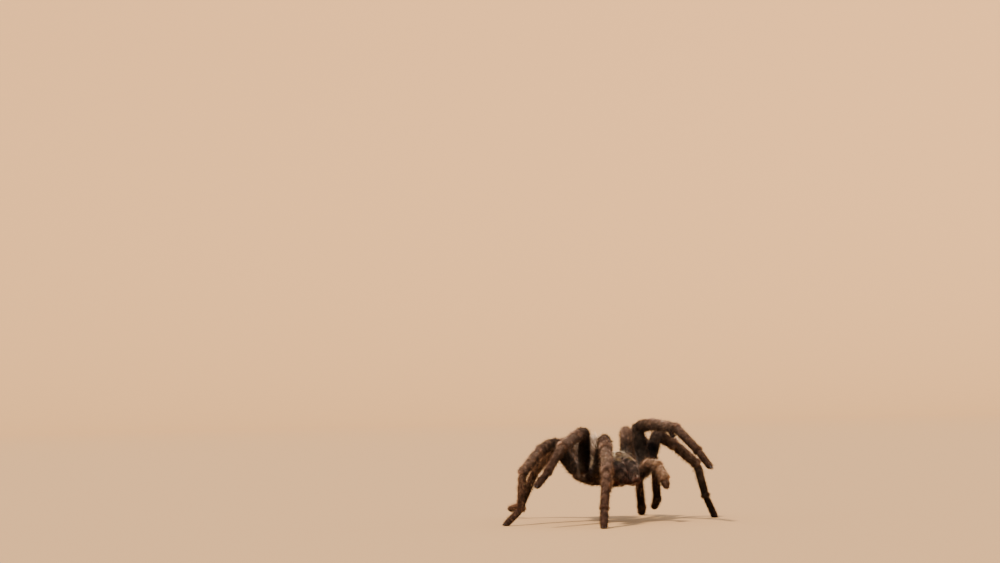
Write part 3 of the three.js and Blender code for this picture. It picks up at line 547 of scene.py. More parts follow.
# ---- Eye mound and eyes ----------------------------------------------------------------
# A small mound just behind the carapace's front edge carries all eight eyes: two round
# dark ones that look forward and, beside and behind them, six oval ones, paler and pearly.
MOUND_Y, MOUND_HALF = -7.0, (1.35, 1.0, 0.95)
MOUND_COAT = 0.1
EYE_RADIUS = 0.26
EYES = (  # across, along and up from the mound's middle, size, flattening, pearly or not
    (0.38, -0.62, 0.62, 1.0, 1.0, False), (0.95, -0.5, 0.42, 1.15, 0.8, True),
    (1.0, 0.28, 0.5, 1.0, 0.75, True), (0.62, 0.42, 0.68, 0.8, 0.7, True))
EYE_DARK, EYE_PEARL, EYE_PEARL_EDGE = (12, 8, 7), (92, 74, 58), (150, 128, 100)


def ball(middle, half, columns=20, levels=11):
    """Rings of an egg-shaped body from its foot to its top."""
    turn = once_round(columns)
    rings = []
    for height in np.radians(np.linspace(-84, 86, levels)):
        c, s = math.cos(height), math.sin(height)
        rings.append(np.stack([half[0] * c * np.cos(turn), half[1] * c * np.sin(turn),
                               np.full(columns, half[2] * s)], -1))
    return np.array(rings) + np.asarray(middle)


def tube_cells(n, m):
    """Corners, each a row and a column, of the faces that close a tube of n rings of m
    points. Rows n and n + 1 stand for the poles of its first end and its last."""
    cells = [((i, j), (i, j + 1), (i + 1, j + 1), (i + 1, j))
             for i in range(n - 1) for j in range(m)]
    cells += [((n, j), (0, j + 1), (0, j)) for j in range(m)]
    return cells + [((n - 1, j), (n - 1, j + 1), (n + 1, j)) for j in range(m)]


def numbered(cells, n, m, first):
    """Those corners as numbers of points: the rings' points from first on, then the poles."""
    return [tuple(first + (i * m + j % m if i < n else n * m + i - n) for i, j in cell)
            for cell in cells]


def closed_piece(name, slot, bodies, *materials, kinds=None):
    """One piece of several bodies of rings, each closed with a shallow point at both ends.
    Kinds says, where there are several materials, which one each body is made of."""
    points, faces, face_kinds = [], [], []
    for rings, kind in zip(bodies, kinds or [0] * len(bodies)):
        n, m = rings.shape[:2]
        here = numbered(tube_cells(n, m), n, m, sum(len(p) for p in points))
        ends = [1.4 * rings[a].mean(0) - 0.4 * rings[b].mean(0) for a, b in ((0, 1), (-1, -2))]
        points += [rings.reshape(-1, 3), np.array(ends)]
        faces += here
        face_kinds += [kind] * len(here)
    piece = scene_object(name, plain_mesh(name, np.concatenate(points) * MM, faces), *materials)
    piece.data.polygons.foreach_set("material_index", np.array(face_kinds, np.int32))
    turn_outward(piece.data)
    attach(piece, "root")
    return piece


def turn_outward(mesh):
    """Makes the faces of closed bodies point outward."""
    work = bmesh.new()
    work.from_mesh(mesh)
    bmesh.ops.recalc_face_normals(work, faces=work.faces[:])
    work.to_mesh(mesh)
    work.free()


def glossy_material(name, colour, roughness, edge=None, coat=0.6):
    """Polished horn or a wet eye: a deep colour with faint cloudy growth in it."""
    material, nodes, links, shader = node_material(name, roughness, 0.6)
    set_inputs(shader, Coat_Weight=coat, Coat_Roughness=0.08)
    growth = cloud(nodes, links, 2500, 3)
    ramp = nodes.new("ShaderNodeValToRGB")
    first, last = ramp.color_ramp.elements
    first.position, last.position = 0.35, 0.7
    first.color = (*dye(colour), 1)
    last.color = (*dye(edge or [c * 1.5 for c in colour]), 1)
    links.new(growth.outputs["Fac"], ramp.inputs["Fac"])
    links.new(ramp.outputs["Color"], shader.inputs["Base Color"])
    return material


def build_mound():
    foot = shield_height(abs(MOUND_Y - SHIELD_MIDDLE_Y) / (SHIELD_LENGTH / 2), math.pi, MOUND_Y)
    level = ball((0, MOUND_Y, foot), np.array(MOUND_HALF) - MOUND_COAT, 36, 17)
    sheet = skin_sheet(stance(level), dye(SHIELD_DEEP) * 0.9,
                       lie=(level - [0, MOUND_Y + 0.3, foot + 0.4]) @ level_to_stance.T)
    clear = np.ones(level.shape[:2])
    eyes, kinds = [], []
    for x, y, z, size, flat, pearly in EYES:
        for side in (-1, 1):
            eye = np.array([side * x, MOUND_Y + y * MOUND_HALF[1], foot + z * MOUND_HALF[2]])
            r = EYE_RADIUS * size
            clear *= 1 - bell(np.linalg.norm(level - eye, axis=-1), r * 0.8)
            eyes.append(stance(ball(eye, (r * flat, r, r), 18)))
            kinds.append(int(pearly))
    bald = np.clip((level[..., 2] - foot) / 0.15 + 6, 0, 1) * clear
    # The mound's hair has the carapace's palest colour, the one that also makes the painted
    # highlight.
    coat = [comb(sheet, 90 * bald, 0.42, 28, 0.055, dye(SHIELD_PALE_AND_HIGHLIGHT), 1, spread=0.4),
            comb(sheet, 8 * bald, 0.75, 50, 0.05, dye(SHIELD_PALE_AND_HIGHLIGHT), 2, spread=0.5)]
    coat_piece("coat_eye_mound", coat, coat_material("mound_hair"))
    dark = glossy_material("dark_eye", EYE_DARK, 0.12)
    pearly = glossy_material("pearly_eye", EYE_PEARL, 0.2, EYE_PEARL_EDGE)
    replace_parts(closed_piece("eyes", "eyes", eyes, dark, pearly, kinds=kinds), "eye_tubercle")


build_mound()

# ---- Soft sides, breast plate and lip --------------------------------------------------
# Under the carapace the body narrows in soft folded skin down to the breast plate, a flat
# heart of horn with the small lip plate in front. All of it wears near black velvet.
SIDE_LEVELS = ((13.5, 0.5), (15.0, 0.55), (16.8, 0.74), (18.1, 0.86))  # height, share of shield
SIDE_INSET = 0.03  # share by which the skin lies inside
STERNUM_Z, STERNUM_HALF = 12.2, (3.5, 4.9)
STERNUM_LEVELS = ((0.06, 0.1), (0.25, 0.1), (0.45, 0.11), (0.62, 0.14), (0.76, 0.2), (0.87, 0.32),
                  (0.94, 0.5), (0.97, 0.8), (0.97, 1.15))  # share of its outline, rise
LIP_PLACE = (0, -5.2, STERNUM_Z + 0.68)
VELVET_DEEP, VELVET_TIP = (26, 21, 19), (76, 66, 62)
LIP_HALF = (1.25, 1.2, 0.5)


def side_rings():
    turns = 72
    angle = once_round(turns)
    heights, shares = zip(*SIDE_LEVELS)
    rings = []
    for z in np.linspace(heights[0], heights[-1], 16):
        fold = 0.08 * math.sin(z * 7)
        x, y = shield_point(angle, np.interp(z, heights, shares) - SIDE_INSET, fold)
        rings.append(np.stack([x, y, np.full(turns, z)], -1))
    return np.array(rings)


def sternum_rings():
    turns = 56
    t = once_round(turns)
    x = STERNUM_HALF[0] * np.sin(t) * (1 - 0.16 * np.cos(t)) * (1 - 0.1 * np.cos(2 * t))
    y = STERNUM_HALF[1] * np.cos(t)
    return np.array([np.stack([x * f, 0.2 + y * f, np.full(turns, STERNUM_Z + rise)], -1)
                     for f, rise in STERNUM_LEVELS])


def build_underside():
    down = [0, 0.2, -1.0] @ level_to_stance.T
    back = [0, 1.0, 0] @ level_to_stance.T
    sides = skin_sheet(stance(side_rings()), dye(VELVET_DEEP) * 1.3, lie=down)
    plate = skin_sheet(stance(sternum_rings()), dye(VELVET_DEEP), lie=back)
    lip = skin_sheet(stance(ball(LIP_PLACE, LIP_HALF, 32)), dye(VELVET_DEEP), lie=-back)
    coat = [
        comb(sides, 14, 0.8, 35, 0.07, dye(VELVET_TIP), 2, spread=0.5),
        comb(plate, 22, 0.7, 32, 0.06, dye(VELVET_TIP) * 0.8, 1, spread=0.3),
        comb(plate, 3, 1.5, 42, 0.06, dye(VELVET_TIP) * 1.3, 2, spread=0.3),
        comb(lip, 20, 0.6, 40, 0.06, dye(VELVET_TIP), 1, spread=0.3),
    ]
    velvet = coat_material("black_velvet", 0.6, 0.03, 0.1)
    coat_piece("coat_underside", coat, velvet)


build_underside()

# ---- Waist and abdomen -----------------------------------------------------------------
# The abdomen is a soft egg carried high behind a narrow waist. Short dark hair covers it,
# and through that grow long pale hairs that sweep back, shorter beside the hind legs.
ABDOMEN_FRONT_Y, ABDOMEN_LENGTH = 9.2, 20.4
ABDOMEN_HALF_WIDTH, ABDOMEN_HALF_HEIGHT, ABDOMEN_Z = 7.35, 6.8, 23.0
ABDOMEN_CORE = 1.0  # the skin stands this far inside the coat's mean outline
ABDOMEN_DEEP, ABDOMEN_SHORT, ABDOMEN_LONG = (34, 21, 15), (112, 78, 55), (240, 210, 180)
ABDOMEN_FLANK, LUNG_COLOUR = (86, 62, 48), (112, 84, 62)
LONG_HAIR, LONG_LIFT = 4.6, 40.0
LUNG_SPOTS = ((0.10, 30), (0.27, 36))  # share along the abdomen, degrees from its keel
EGG_FOLD = 0.33  # share along, of the fold behind the lungs
WAIST_FRONT, WAIST_REAR, WAIST_RADIUS = (0, 5.5, 16.3), (0, 11.5, 18.4), 1.35
WAIST_SHAPE = ((0, WAIST_RADIUS), (0.5, WAIST_RADIUS * 0.85), (1, WAIST_RADIUS * 1.05))


def abdomen_station(t):
    bulge = np.sqrt(np.maximum(0, 1 - np.abs(2 * t ** 0.92 - 1) ** 2.35))
    return (ABDOMEN_FRONT_Y + ABDOMEN_LENGTH * t,
            ABDOMEN_Z - 2.6 * (1 - t) ** 3 - 1.9 * t ** 3,
            ABDOMEN_HALF_WIDTH * bulge, ABDOMEN_HALF_HEIGHT * bulge)


def straight_tube(a, b, stations, columns=24, count=14):
    """Rings from a to b, with a radius read from stations of (share along, radius)."""
    a, b = np.asarray(a, float), np.asarray(b, float)
    axis = unit(b - a)
    wide = unit(np.cross(axis, [0, 0, 1.0]))
    high = np.cross(wide, axis)
    turn = once_round(columns)[:, None]
    share = np.linspace(stations[0][0], stations[-1][0], count)
    radius = np.interp(share, *zip(*stations))
    return np.array([a + (b - a) * s + r * (wide * np.cos(turn) + high * np.sin(turn))
                     for s, r in zip(share, radius)])


def build_abdomen():
    t = 0.5 - 0.5 * np.cos(np.linspace(0.09, np.pi - 0.07, 52))
    y, z, wide, high = (a[:, None] for a in abdomen_station(t))
    angle = once_round(72)
    t, c, s = t[:, None], np.cos(angle)[None], np.sin(angle)[None]
    core = 1 - ABDOMEN_CORE / ABDOMEN_HALF_WIDTH
    level = np.stack(np.broadcast_arrays(wide * core * c, y, z + high * core * s), -1)
    keel = np.degrees(np.arccos(np.clip(-s, -1, 1)))
    lungs = sum(bell(t - share, 0.05) * bell(keel - away, 13) for share, away in LUNG_SPOTS)
    fold = bell(t - EGG_FOLD, 0.012) * bell(keel, 45)
    level = level - unit(level - level.mean(1, keepdims=True)) * (0.3 * fold)[..., None]
    sheet = skin_sheet(stance(level), mix(dye(ABDOMEN_DEEP), dye(LUNG_COLOUR), lungs * 0.8),
                       lie=[0, 1.0, -0.12] @ level_to_stance.T)
    upper = np.clip((s + 0.75) / 1.2, 0, 1)
    rear = np.clip((t - 0.5) / 0.4, 0, 1)
    front = np.clip((0.22 - t) / 0.14, 0, 1)
    beside = np.clip((np.abs(c) - 0.72) / 0.16, 0, 1) * (s > -0.8)
    beside = beside * np.clip((0.66 - t) / 0.12, 0, 1)
    long = LONG_HAIR * (0.42 + 0.58 * np.maximum(upper, 0.5 * rear))
    long = long * (1 - 0.3 * beside) * (1 - 0.25 * front)
    lift = LONG_LIFT * (0.6 + 0.4 * upper) * (1 - 0.45 * beside) * (1 - 0.35 * front)
    everywhere = np.ones_like(t)
    # Partly the hair's own colour and partly painted light and shade: paler along the top,
    # darker on the flanks and below.
    short = mix(dye(ABDOMEN_SHORT) * 0.55, dye(ABDOMEN_SHORT), upper * everywhere)
    pale = mix(dye(ABDOMEN_FLANK), dye(ABDOMEN_LONG), np.clip((s - 0.42) / 0.5, 0, 1) * everywhere)
    bare = 1 - 0.75 * np.clip(lungs, 0, 1)
    coat = [
        comb(sheet, 14 * bare, 1.7, 30, 0.085, short, 2, spread=0.3),
        comb(sheet, 4.5 * bare, 0.72 * long, lift * 0.9, 0.085, mix(short, pale, 0.45), 3, 0.35,
             spread=0.3),
        comb(sheet, 2.6 * (0.25 + 0.75 * upper) * bare, 1.08 * long, lift, 0.11, pale, 3, 0.3),
    ]
    material = coat_material("long_pale_hair", 0.4, 0.2, 0.35)
    coat_piece("coat_abdomen", coat, material)
    waist = straight_tube(WAIST_FRONT, WAIST_REAR, WAIST_SHAPE)
    sheet = skin_sheet(stance(waist), dye(VELVET_DEEP) * 1.4)
    return comb(sheet, 14, 0.6, 30, 0.06, dye(VELVET_TIP), 1)


waist_hair = build_abdomen()

# ---- Spinnerets ------------------------------------------------------------------------
# Two long outer spinnerets, each a tapering finger of three joints, with a small inner
# pair between their roots. All four wear short hair.
SPINNERET_ROOT, SPINNERET_RUN = (1.5, 27.6, 19.2), 5.8
SPINNERET_SHAPE = (
    (0.0, 0.6), (0.06, 0.72), (0.3, 0.82), (0.4, 0.8), (0.43, 0.56), (0.47, 0.62), (0.62, 0.66),
    (0.68, 0.46), (0.73, 0.46), (0.9, 0.33), (0.96, 0.22), (0.985, 0.08))
INNER_ROOT, INNER_RUN = (0.5, 28.3, 18.3), 1.5
INNER_SHAPE = ((0, 0.3), (0.6, 0.3), (0.9, 0.2), (1, 0.06))


def build_spinnerets():
    hair = [waist_hair]
    for side in (-1, 1):
        root = np.array(SPINNERET_ROOT) * [side, 1, 1]
        along = unit(np.array([side * 0.22, 1, 0.05]))
        outer = straight_tube(root, root + along * SPINNERET_RUN, SPINNERET_SHAPE, 24, 40)
        root = np.array(INNER_ROOT) * [side, 1, 1]
        inner = straight_tube(root, root + [side * 0.1, INNER_RUN, -0.1], INNER_SHAPE, 16, 10)
        for rings, length in ((outer, 1.0), (inner, 0.5)):
            sheet = skin_sheet(stance(rings), dye(ABDOMEN_DEEP) * 1.6)
            hair.append(comb(sheet, 22, length * 0.7, 26, 0.06, dye(ABDOMEN_SHORT), 1))
            hair.append(comb(sheet, 5, length * 1.4, 34, 0.06, dye(ABDOMEN_SHORT) * 1.6))
    coat_piece("coat_spinnerets", hair, coat_material("spinneret_hair"))


build_spinnerets()

# ---- Jaws and fangs --------------------------------------------------------------------
# Two deep rounded jaws that bulge forward and slope down to the fangs, clothed in grey
# brown hair with a rusty fringe along the groove between them and round the fangs.
JAW_X, JAW_HALF_WIDTH, JAW_COAT = 2.2, 2.05, 0.16
JAW_GAP = 0.2  # from the body's middle plane to each jaw
JAW_STATIONS = (  # along, middle height, share of width, half height
    (-7.3, 18.3, 0.5, 1.6), (-8.4, 18.5, 0.92, 3.0), (-9.6, 18.75, 1.0, 3.5),
    (-11.4, 18.35, 1.02, 3.85), (-13.1, 17.5, 1.02, 3.75), (-14.5, 16.6, 0.97, 3.1),
    (-15.5, 15.9, 0.78, 2.2), (-15.95, 15.65, 0.4, 1.1))
JAW_DEEP, JAW_TIP, RUST = (30, 26, 25), (150, 130, 120), (116, 70, 54)
# Painted highlight: the golden patch on the top of each jaw, near the carapace.
JAW_CROWN_HIGHLIGHT = (226, 182, 122)
FANG_PATH = ((2.15, -14.3, 14.4), (2.15, -14.2, 13.5), (2.1, -13.0, 13.0), (2.0, -11.3, 12.95),
             (1.9, -9.9, 13.3))
FANG_GIRTH = (0.85, 0.83, 0.7, 0.53, 0.34, 0.08)
FANG_COLOUR, FANG_EDGE = (16, 9, 8), (44, 20, 14)


def smooth_path(points, shares):
    """Points at shares 0..1 of a smooth curve through a row of points."""
    p = np.asarray(points, float)
    p = np.concatenate([[2 * p[0] - p[1]], p, [2 * p[-1] - p[-2]]])
    out = []
    for s in np.asarray(shares) * (len(p) - 3):
        i = int(min(s, len(p) - 4 - 1e-9))
        t = s - i
        a, b, c, d = p[i:i + 4]
        out.append(0.5 * (2 * b + (c - a) * t + (2 * a - 5 * b + 4 * c - d) * t * t
                          + (3 * b - a - 3 * c + d) * t ** 3))
    return np.array(out)


def horn_rings(path, girth, columns=16, count=26):
    """Rings along a smooth curve with evenly spaced radii."""
    shares = np.linspace(0, 1, count)
    spine = smooth_path(path, shares)
    radius = np.interp(shares, np.linspace(0, 1, len(girth)), girth)
    axis = unit(np.gradient(spine, axis=0))
    turn = once_round(columns)[:, None]
    wide = unit(np.cross(axis[0], [0.3, 0.2, 1.0]))
    rings = []
    for centre, ahead, r in zip(spine, axis, radius):
        wide = unit(wide - ahead * (wide @ ahead))
        rings.append(centre + r * (wide * np.cos(turn) + np.cross(ahead, wide) * np.sin(turn)))
    return np.array(rings)


def build_jaws():
    angle = 2 * np.pi * (np.arange(40) + 0.5) / 40
    c, s = np.cos(angle), np.sin(angle)
    y, z, wide, high = smooth_path(JAW_STATIONS, np.linspace(0, 1, 40)).T[..., None]
    across = np.sign(c) * np.abs(c) ** np.where(c < 0, 0.5, 0.85)
    half = JAW_HALF_WIDTH * wide - JAW_COAT * np.minimum(1, wide)
    x = np.maximum(JAW_X + half * across, JAW_GAP)
    z = z + (high - JAW_COAT) * np.sign(s) * np.abs(s) ** 0.9
    groove = np.clip(-c, 0, 1) ** 1.5 * np.clip((s + 0.5) / 0.8, 0, 1) * np.ones_like(y)
    fang_side = np.clip(-s, 0, 1) ** 2 * np.clip((-11 - y) / 2.5, 0, 1)
    # Painted highlight: a golden patch on each jaw's top near its root, left out of the blotches.
    crown_highlight = bell(np.degrees(angle) - 84, 20) * bell(y + 11.4, 1.2)
    plain = mix(dye(JAW_TIP), dye(JAW_CROWN_HIGHLIGHT), crown_highlight)
    plain = mix(plain, dye(RUST), np.clip(groove * 0.8 + fang_side, 0, 1))
    out = np.clip(1.25 - groove, 0.25, 1)
    hair, fangs = [], []
    for side in (-1, 1):
        level = np.stack(np.broadcast_arrays(side * x, y, z), -1)
        sheet = skin_sheet(stance(level), dye(JAW_DEEP))
        blotch = np.sin(level @ [1.2, 0.8, 1.5]) + np.sin(level @ [-0.9, 1.7, 1.1] + side)
        tip = plain * (1 + 0.36 * blotch * (1 - crown_highlight))[..., None]
        pale = mix(tip, dye(JAW_TIP) * 1.6, 0.4)
        hair += [
            comb(sheet, 60 * out, 0.55, 20, 0.065, tip, 1, spread=0.3),
            comb(sheet, 9 * out, 0.9, 24, 0.065, tip, spread=0.3),
            comb(sheet, 0.9 * out, 1.8, 40, 0.06, pale, 2, 0.7, spread=0.4),
            comb(sheet, 16 * fang_side, 1.7, 50, 0.06, dye(RUST), 2, 0.8, spread=0.5),
        ]
        path = np.array(FANG_PATH) * [side, 1, 1]
        fangs.append(stance(horn_rings(path, FANG_GIRTH, 20, 34)))
    coat_piece("coat_jaws", hair, coat_material("jaw_hair", 0.5, 0.03, 0.12))
    horn = glossy_material("polished_horn", FANG_COLOUR, 0.16, FANG_EDGE)
    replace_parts(closed_piece("fangs", "fangs", fangs, horn), "fang_left", "fang_right")


build_jaws()

# ---- Legs ------------------------------------------------------------------------------
# Eight walking legs, each of coxa with trochanter, femur, patella, tibia, metatarsus and
# tarsus, narrow and paler at the joints. Short hair clothes them, bristles stand out of it,
# and black velvet pads line the feet. The first pair bears the male's mating spurs.
LEG_LENGTHS = {  # femur, patella, tibia, metatarsus, tarsus
    1: (16.0, 7.8, 12.0, 13.2, 8.0), 2: (15.0, 7.5, 11.0, 11.8, 8.0),
    3: (13.5, 6.5, 10.0, 12.5, 8.0), 4: (16.0, 7.5, 13.5, 16.5, 8.5)}
HIPS = {1: (9.0, -9.0), 2: (12.0, -4.0), 3: (12.2, 2.0), 4: (9.5, 8.0)}  # across and along
PALP_HIPS = {1: (6.0, -10.8, 16.2), -1: (-6.0, -10.8, 16.0)}  # the palps' own, pair 0
COXA_ROOTS = {0: (2.3, -5.6), 1: (3.2, -4.3), 2: (3.7, -1.7), 3: (3.7, 1.3), 4: (3.1, 4.2)}
COXA_ROOT_Z, PALP_ROOT_DROP = 14.7, 0.6
COXA_GAP = 0.12  # between a coxa and the plane that halves the space to the next one
FEMUR_HALF, KNEE_HALF, TIBIA_HALF, METATARSUS_HALF = 2.0, 2.0, 1.75, 1.36
TARSUS_HALF, TARSUS_TIP, COXA_HALF = 1.2, 1.08, 2.1
STOUTNESS = {1: 1.0, 2: 0.94, 3: 0.96, 4: 0.98}
TIP_INSET, FOOT_HEIGHT = 0.55, 0.8
LEG_COAT = 0.1  # depth of the close coat, by which the skin lies inside the leg's outline
NECK, NECK_RUN = 0.2, 0.9  # how far and how long a segment is drawn in at its root
FAR = 99.0  # stands for no joint near
# The compass heading of each femur's plane from the left side towards the rear, the plane's
# lean, its twists beyond the knee and beyond the tibia, and each segment's pitch, all in
# degrees. A leg with no pitch for its tarsus stands on the floor.
LEGS = {
    "leg_1_right": (1, -1, -106.8, 7.6, (0.1, -0.4), (47.5, -24.1, -38.2, -66.0)),
    "leg_2_right": (2, -1, -135.2, 9.2, (0.0, -3.8), (73.6, -11.0, -17.0, -45.2, -33.6)),
    "leg_3_right": (3, -1, 183.2, -1.8, (3.7, 9.0), (52.9, -26.8, -45.8, -84.2)),
    "leg_4_right": (4, -1, 96.8, -8.9, (-0.8, -3.1), (40.4, -19.7, -31.6, -55.5, -8.7)),
    "leg_1_left": (1, 1, -69.6, 8.6, (-0.5, 2.6), (112.0, 7.7, -7.4, -36.2, -42.3)),
    "leg_2_left": (2, 1, 29.1, 11.6, (-22.3, -5.7), (53.1, -29.5, -40.5, -82.3)),
    "leg_3_left": (3, 1, 58.5, 5.6, (-9.3, 17.8), (47.8, -24.6, -44.9, -74.5, -21.8)),
    "leg_4_left": (4, 1, 59.7, 5.1, (-2.9, 8.0), (56.3, -29.6, -43.8, -65.0)),
}
# The third colour is the pale of the glints painted along the legs' tops.
LEG_DEEP, LEG_UNDER, LEG_GLINT = (24, 17, 14), (122, 103, 91), (226, 198, 170)
LEG_HALO = (198, 146, 108)  # the long hair that stands off a leg, pale partly as painted backlight
PALENESS = (1.65, 1.2, 0.95, 1.0, 2.2)  # of palps and the four pairs of legs
HALO = (  # paleness of their long hair, partly painted backlight, and its number
    (0.8, 1.5), (0.7, 1.5), (0.5, 1.5), (1.3, 4.0), (1.45, 4.5))
LEG_TIPS = (  # middle of the coxa, femur, patella, tibia, metatarsus and tarsus
    (98, 90, 86), (11, 7, 6), (96, 76, 66), (138, 114, 101), (92, 70, 59), (75, 53, 43))
LEG_BACK = 2.0  # how much paler the hair is along the back, partly its own colour and partly painted top light
LEG_PALEST = (214, 174, 140)
HAIR_RUN = ((0, 2, 4, 5, 6), (0.9, 0.85, 0.75, 0.65, 0.55))  # close coat's length from hip to foot
JOINT_SKIN, JOINT_RING = (160, 122, 100), (178, 150, 130)
PAD_DEEP, PAD_TIP = (16, 11, 9), (48, 34, 27)
LEG_PAD_START = 4.55  # in segments from the hip
LEG_CEILING = 36.1  # the long hair of a raised knee stays below this
SKIN_FLOOR = 0.05  # the skin of a foot stays above this
SPUR_LENGTH, SPUR_GIRTH = 3.0, (0.9, 0.8, 0.6, 0.3)
SPUR_COLOUR, SPINE_GIRTH = (20, 12, 10), (0.22, 0.2, 0.06)


def level_point(x, y, z):
    """A point of the body in its walking attitude, before it is put in its place."""
    return stance(np.array([x, y, z], float)) - BODY_PLACE


def hip_of(pair, side):
    if pair == 0:
        return np.array(PALP_HIPS[side])
    return level_point(side * HIPS[pair][0], HIPS[pair][1], RIDE_HEIGHT)


def coxa_root(pair, side):
    x, y = COXA_ROOTS[pair]
    return level_point(side * x, y, COXA_ROOT_Z - (PALP_ROOT_DROP if pair == 0 else 0))


def leg_joints(pair, side, heading, lean, twist, pitch):
    """Joints from hip to foot, and which way each segment's back faces."""
    joints, backs = [hip_of(pair, side)], []
    tilt = math.radians(lean)
    for i, length in enumerate(LEG_LENGTHS[pair]):
        turn = math.radians(heading + (0 if i == 0 else twist[0 if i < 3 else 1]))
        c, s = math.cos(turn), math.sin(turn)
        out = np.array([c, s, 0])
        rise = np.array([-s * math.sin(tilt), c * math.sin(tilt), math.cos(tilt)])
        if i < len(pitch):
            p = math.radians(pitch[i])
        else:
            p = math.asin((FOOT_HEIGHT - joints[i][2]) / ((length - TIP_INSET) * math.cos(tilt)))
        backs.append(rise * math.cos(p) - out * math.sin(p))
        joints.append(joints[i] + (out * math.cos(p) + rise * math.sin(p)) * length)
    return joints, backs


def between(a, b, share):
    """The direction a share of the way along the arc from a to b."""
    angle = math.acos(max(-1.0, min(1.0, float(a @ b))))
    if angle < 1e-4:
        return unit(a + (b - a) * share)
    return (a * math.sin((1 - share) * angle) + b * math.sin(share * angle)) / math.sin(angle)


def limb_rings(joints, backs, shapes, columns=24, step=0.55):
    """Rings along a jointed limb. At a joint they fan round the outside of the bend, and
    meet on the plane that halves it. Marks say, for each ring, which segment it is on, the
    share along it and how far the nearest joint is. Last come, for each column, how far it
    faces up and how far across."""
    joints = np.array(joints)
    runs = np.diff(joints, axis=0)
    lengths = np.linalg.norm(runs, axis=1)
    axes = unit(runs)
    highs = [unit(b - a * (a @ b)) for a, b in zip(axes, backs)]
    turn = 2 * np.pi * (np.arange(columns) + 0.5) / columns
    last = len(axes) - 1
    rings, marks = [], []

    def add(centre, axis, high, size, clamps, mark):
        """One ring, pushed back along the limb from the planes of the joints in clamps."""
        half_wide, half_high, lift = size
        points = (centre + high * lift + np.outer(np.cos(turn) * half_wide, np.cross(axis, high))
                  + np.outer(np.sin(turn) * half_high, high))
        for joint, side in clamps:
            plane = unit(axes[joint - 1] + axes[joint])
            over = side * ((points - joints[joint]) @ plane)
            points = points - np.outer(side * np.maximum(over, 0) / (axis @ plane), axis)
        rings.append(points)
        marks.append(mark)

    def cap(centre, i, size, clamps, mark, way, angles):
        """Rounds an end off with rings at angles from the limb's line."""
        w, h, lift = size
        for a in np.radians(angles):
            size = (w * math.sin(a), h * math.sin(a), lift)
            place = centre + way * axes[i] * min(w, h) * math.cos(a)
            add(place, axes[i], highs[i], size, clamps, mark)

    for i in range(last + 1):
        shape = np.array(shapes[i])
        end = shape[-1, 0]

        def nearness(share):
            begun = share * lengths[i] if i else FAR
            left = (1 - share) * lengths[i] if i < last else FAR
            return begun, left

        def size_at(share):
            w, h, lift = (np.interp(share, shape[:, 0], shape[:, k]) for k in (1, 2, 3))
            begun, left = nearness(share)
            neck = 1 - NECK * bell(begun, NECK_RUN) - NECK / 2 * bell(left, NECK_RUN / 3)
            neck = neck + 0.05 * bell(left - NECK_RUN, 0.5)
            return (w - LEG_COAT) * neck, (h - LEG_COAT) * neck, lift

        clamps = ([(i, -1)] if i else []) + ([(i + 1, 1)] if i < last else [])
        count = max(6, math.ceil(lengths[i] / step))
        if i == 0:
            cap(joints[0], 0, size_at(0.0), clamps, (0, 0.0, FAR), -1, (12, 45, 70))
        for share in end * (0.5 - 0.5 * np.cos(np.pi * np.arange(count + 1) / count)):
            mark = (i, share, min(nearness(share)))
            add(joints[i] + runs[i] * share, axes[i], highs[i], size_at(share), clamps, mark)
        if i == last:
            foot = joints[i] + runs[i] * end
            cap(foot, i, size_at(end), clamps, (i, 1.0, FAR), 1, (70, 50, 30, 12))
            break
        here = size_at(1.0)
        w, h, lift = shapes[i + 1][0][1:]
        there = ((w - LEG_COAT) * (1 - NECK), (h - LEG_COAT) * (1 - NECK), lift)
        fan = 2 * max(1, round(math.degrees(math.acos(min(1, float(axes[i] @ axes[i + 1])))) / 16))
        for k in range(1, fan):
            share = k / fan
            size = [a * (1 - share) + b * share for a, b in zip(here, there)]
            axis, high = (between(*v[i:i + 2], share) for v in (axes, highs))
            beyond = share > 0.5
            add(joints[i + 1], axis, high, size, [(i + 1, -1 if beyond else 1)],
                (i + beyond, float(not beyond), 0.0))
    rings = np.array(rings)
    rings[..., 2] = np.maximum(rings[..., 2], SKIN_FLOOR)
    return rings, np.array(marks), np.sin(turn), np.cos(turn)


def leg_shapes(pair):
    """Half width, half height and rise at shares along each segment, coxa to tarsus."""
    stout = STOUTNESS[pair]
    halves = (FEMUR_HALF, KNEE_HALF, TIBIA_HALF, METATARSUS_HALF, TARSUS_HALF)
    f, k, t, m, r = (half * stout for half in halves)
    reach = 1 - TIP_INSET / LEG_LENGTHS[pair][4]
    return [
        coxa_shape(COXA_HALF),
        [(0, f * 0.86, f * 0.9, 0), (0.18, f * 0.95, f * 1.02, 0), (0.45, f, f * 1.06, 0.05),
         (0.8, f * 0.96, f, 0.05), (1, k * 0.93, k * 0.96, 0)],
        [(0, k * 0.93, k * 0.96, 0), (0.45, k * 0.96, k, 0.08), (1, t * 0.97, t, 0)],
        [(0, t * 0.97, t, 0), (0.3, t, t * 1.03, 0), (0.75, t * 0.97, t, 0),
         (1, m * 1.05, m * 1.06, 0)],
        [(0, m * 1.05, m * 1.06, 0), (0.35, m, m, 0), (0.8, m * 0.98, m * 0.98, 0),
         (1, r * 0.94, r * 0.92, 0)],
        [(0, r * 0.94, r * 0.92, 0), (0.4, r, r * 0.98, 0), (reach, TARSUS_TIP, TARSUS_TIP, 0)],
    ]


def coxa_shape(half):
    return [(0, half * 0.72, half, 0), (0.35, half * 0.95, half * 1.12, -0.1),
            (0.68, half, half * 1.08, -0.1), (0.8, half * 0.9, half * 0.98, 0),
            (1, half * 0.92, half * 0.95, 0)]


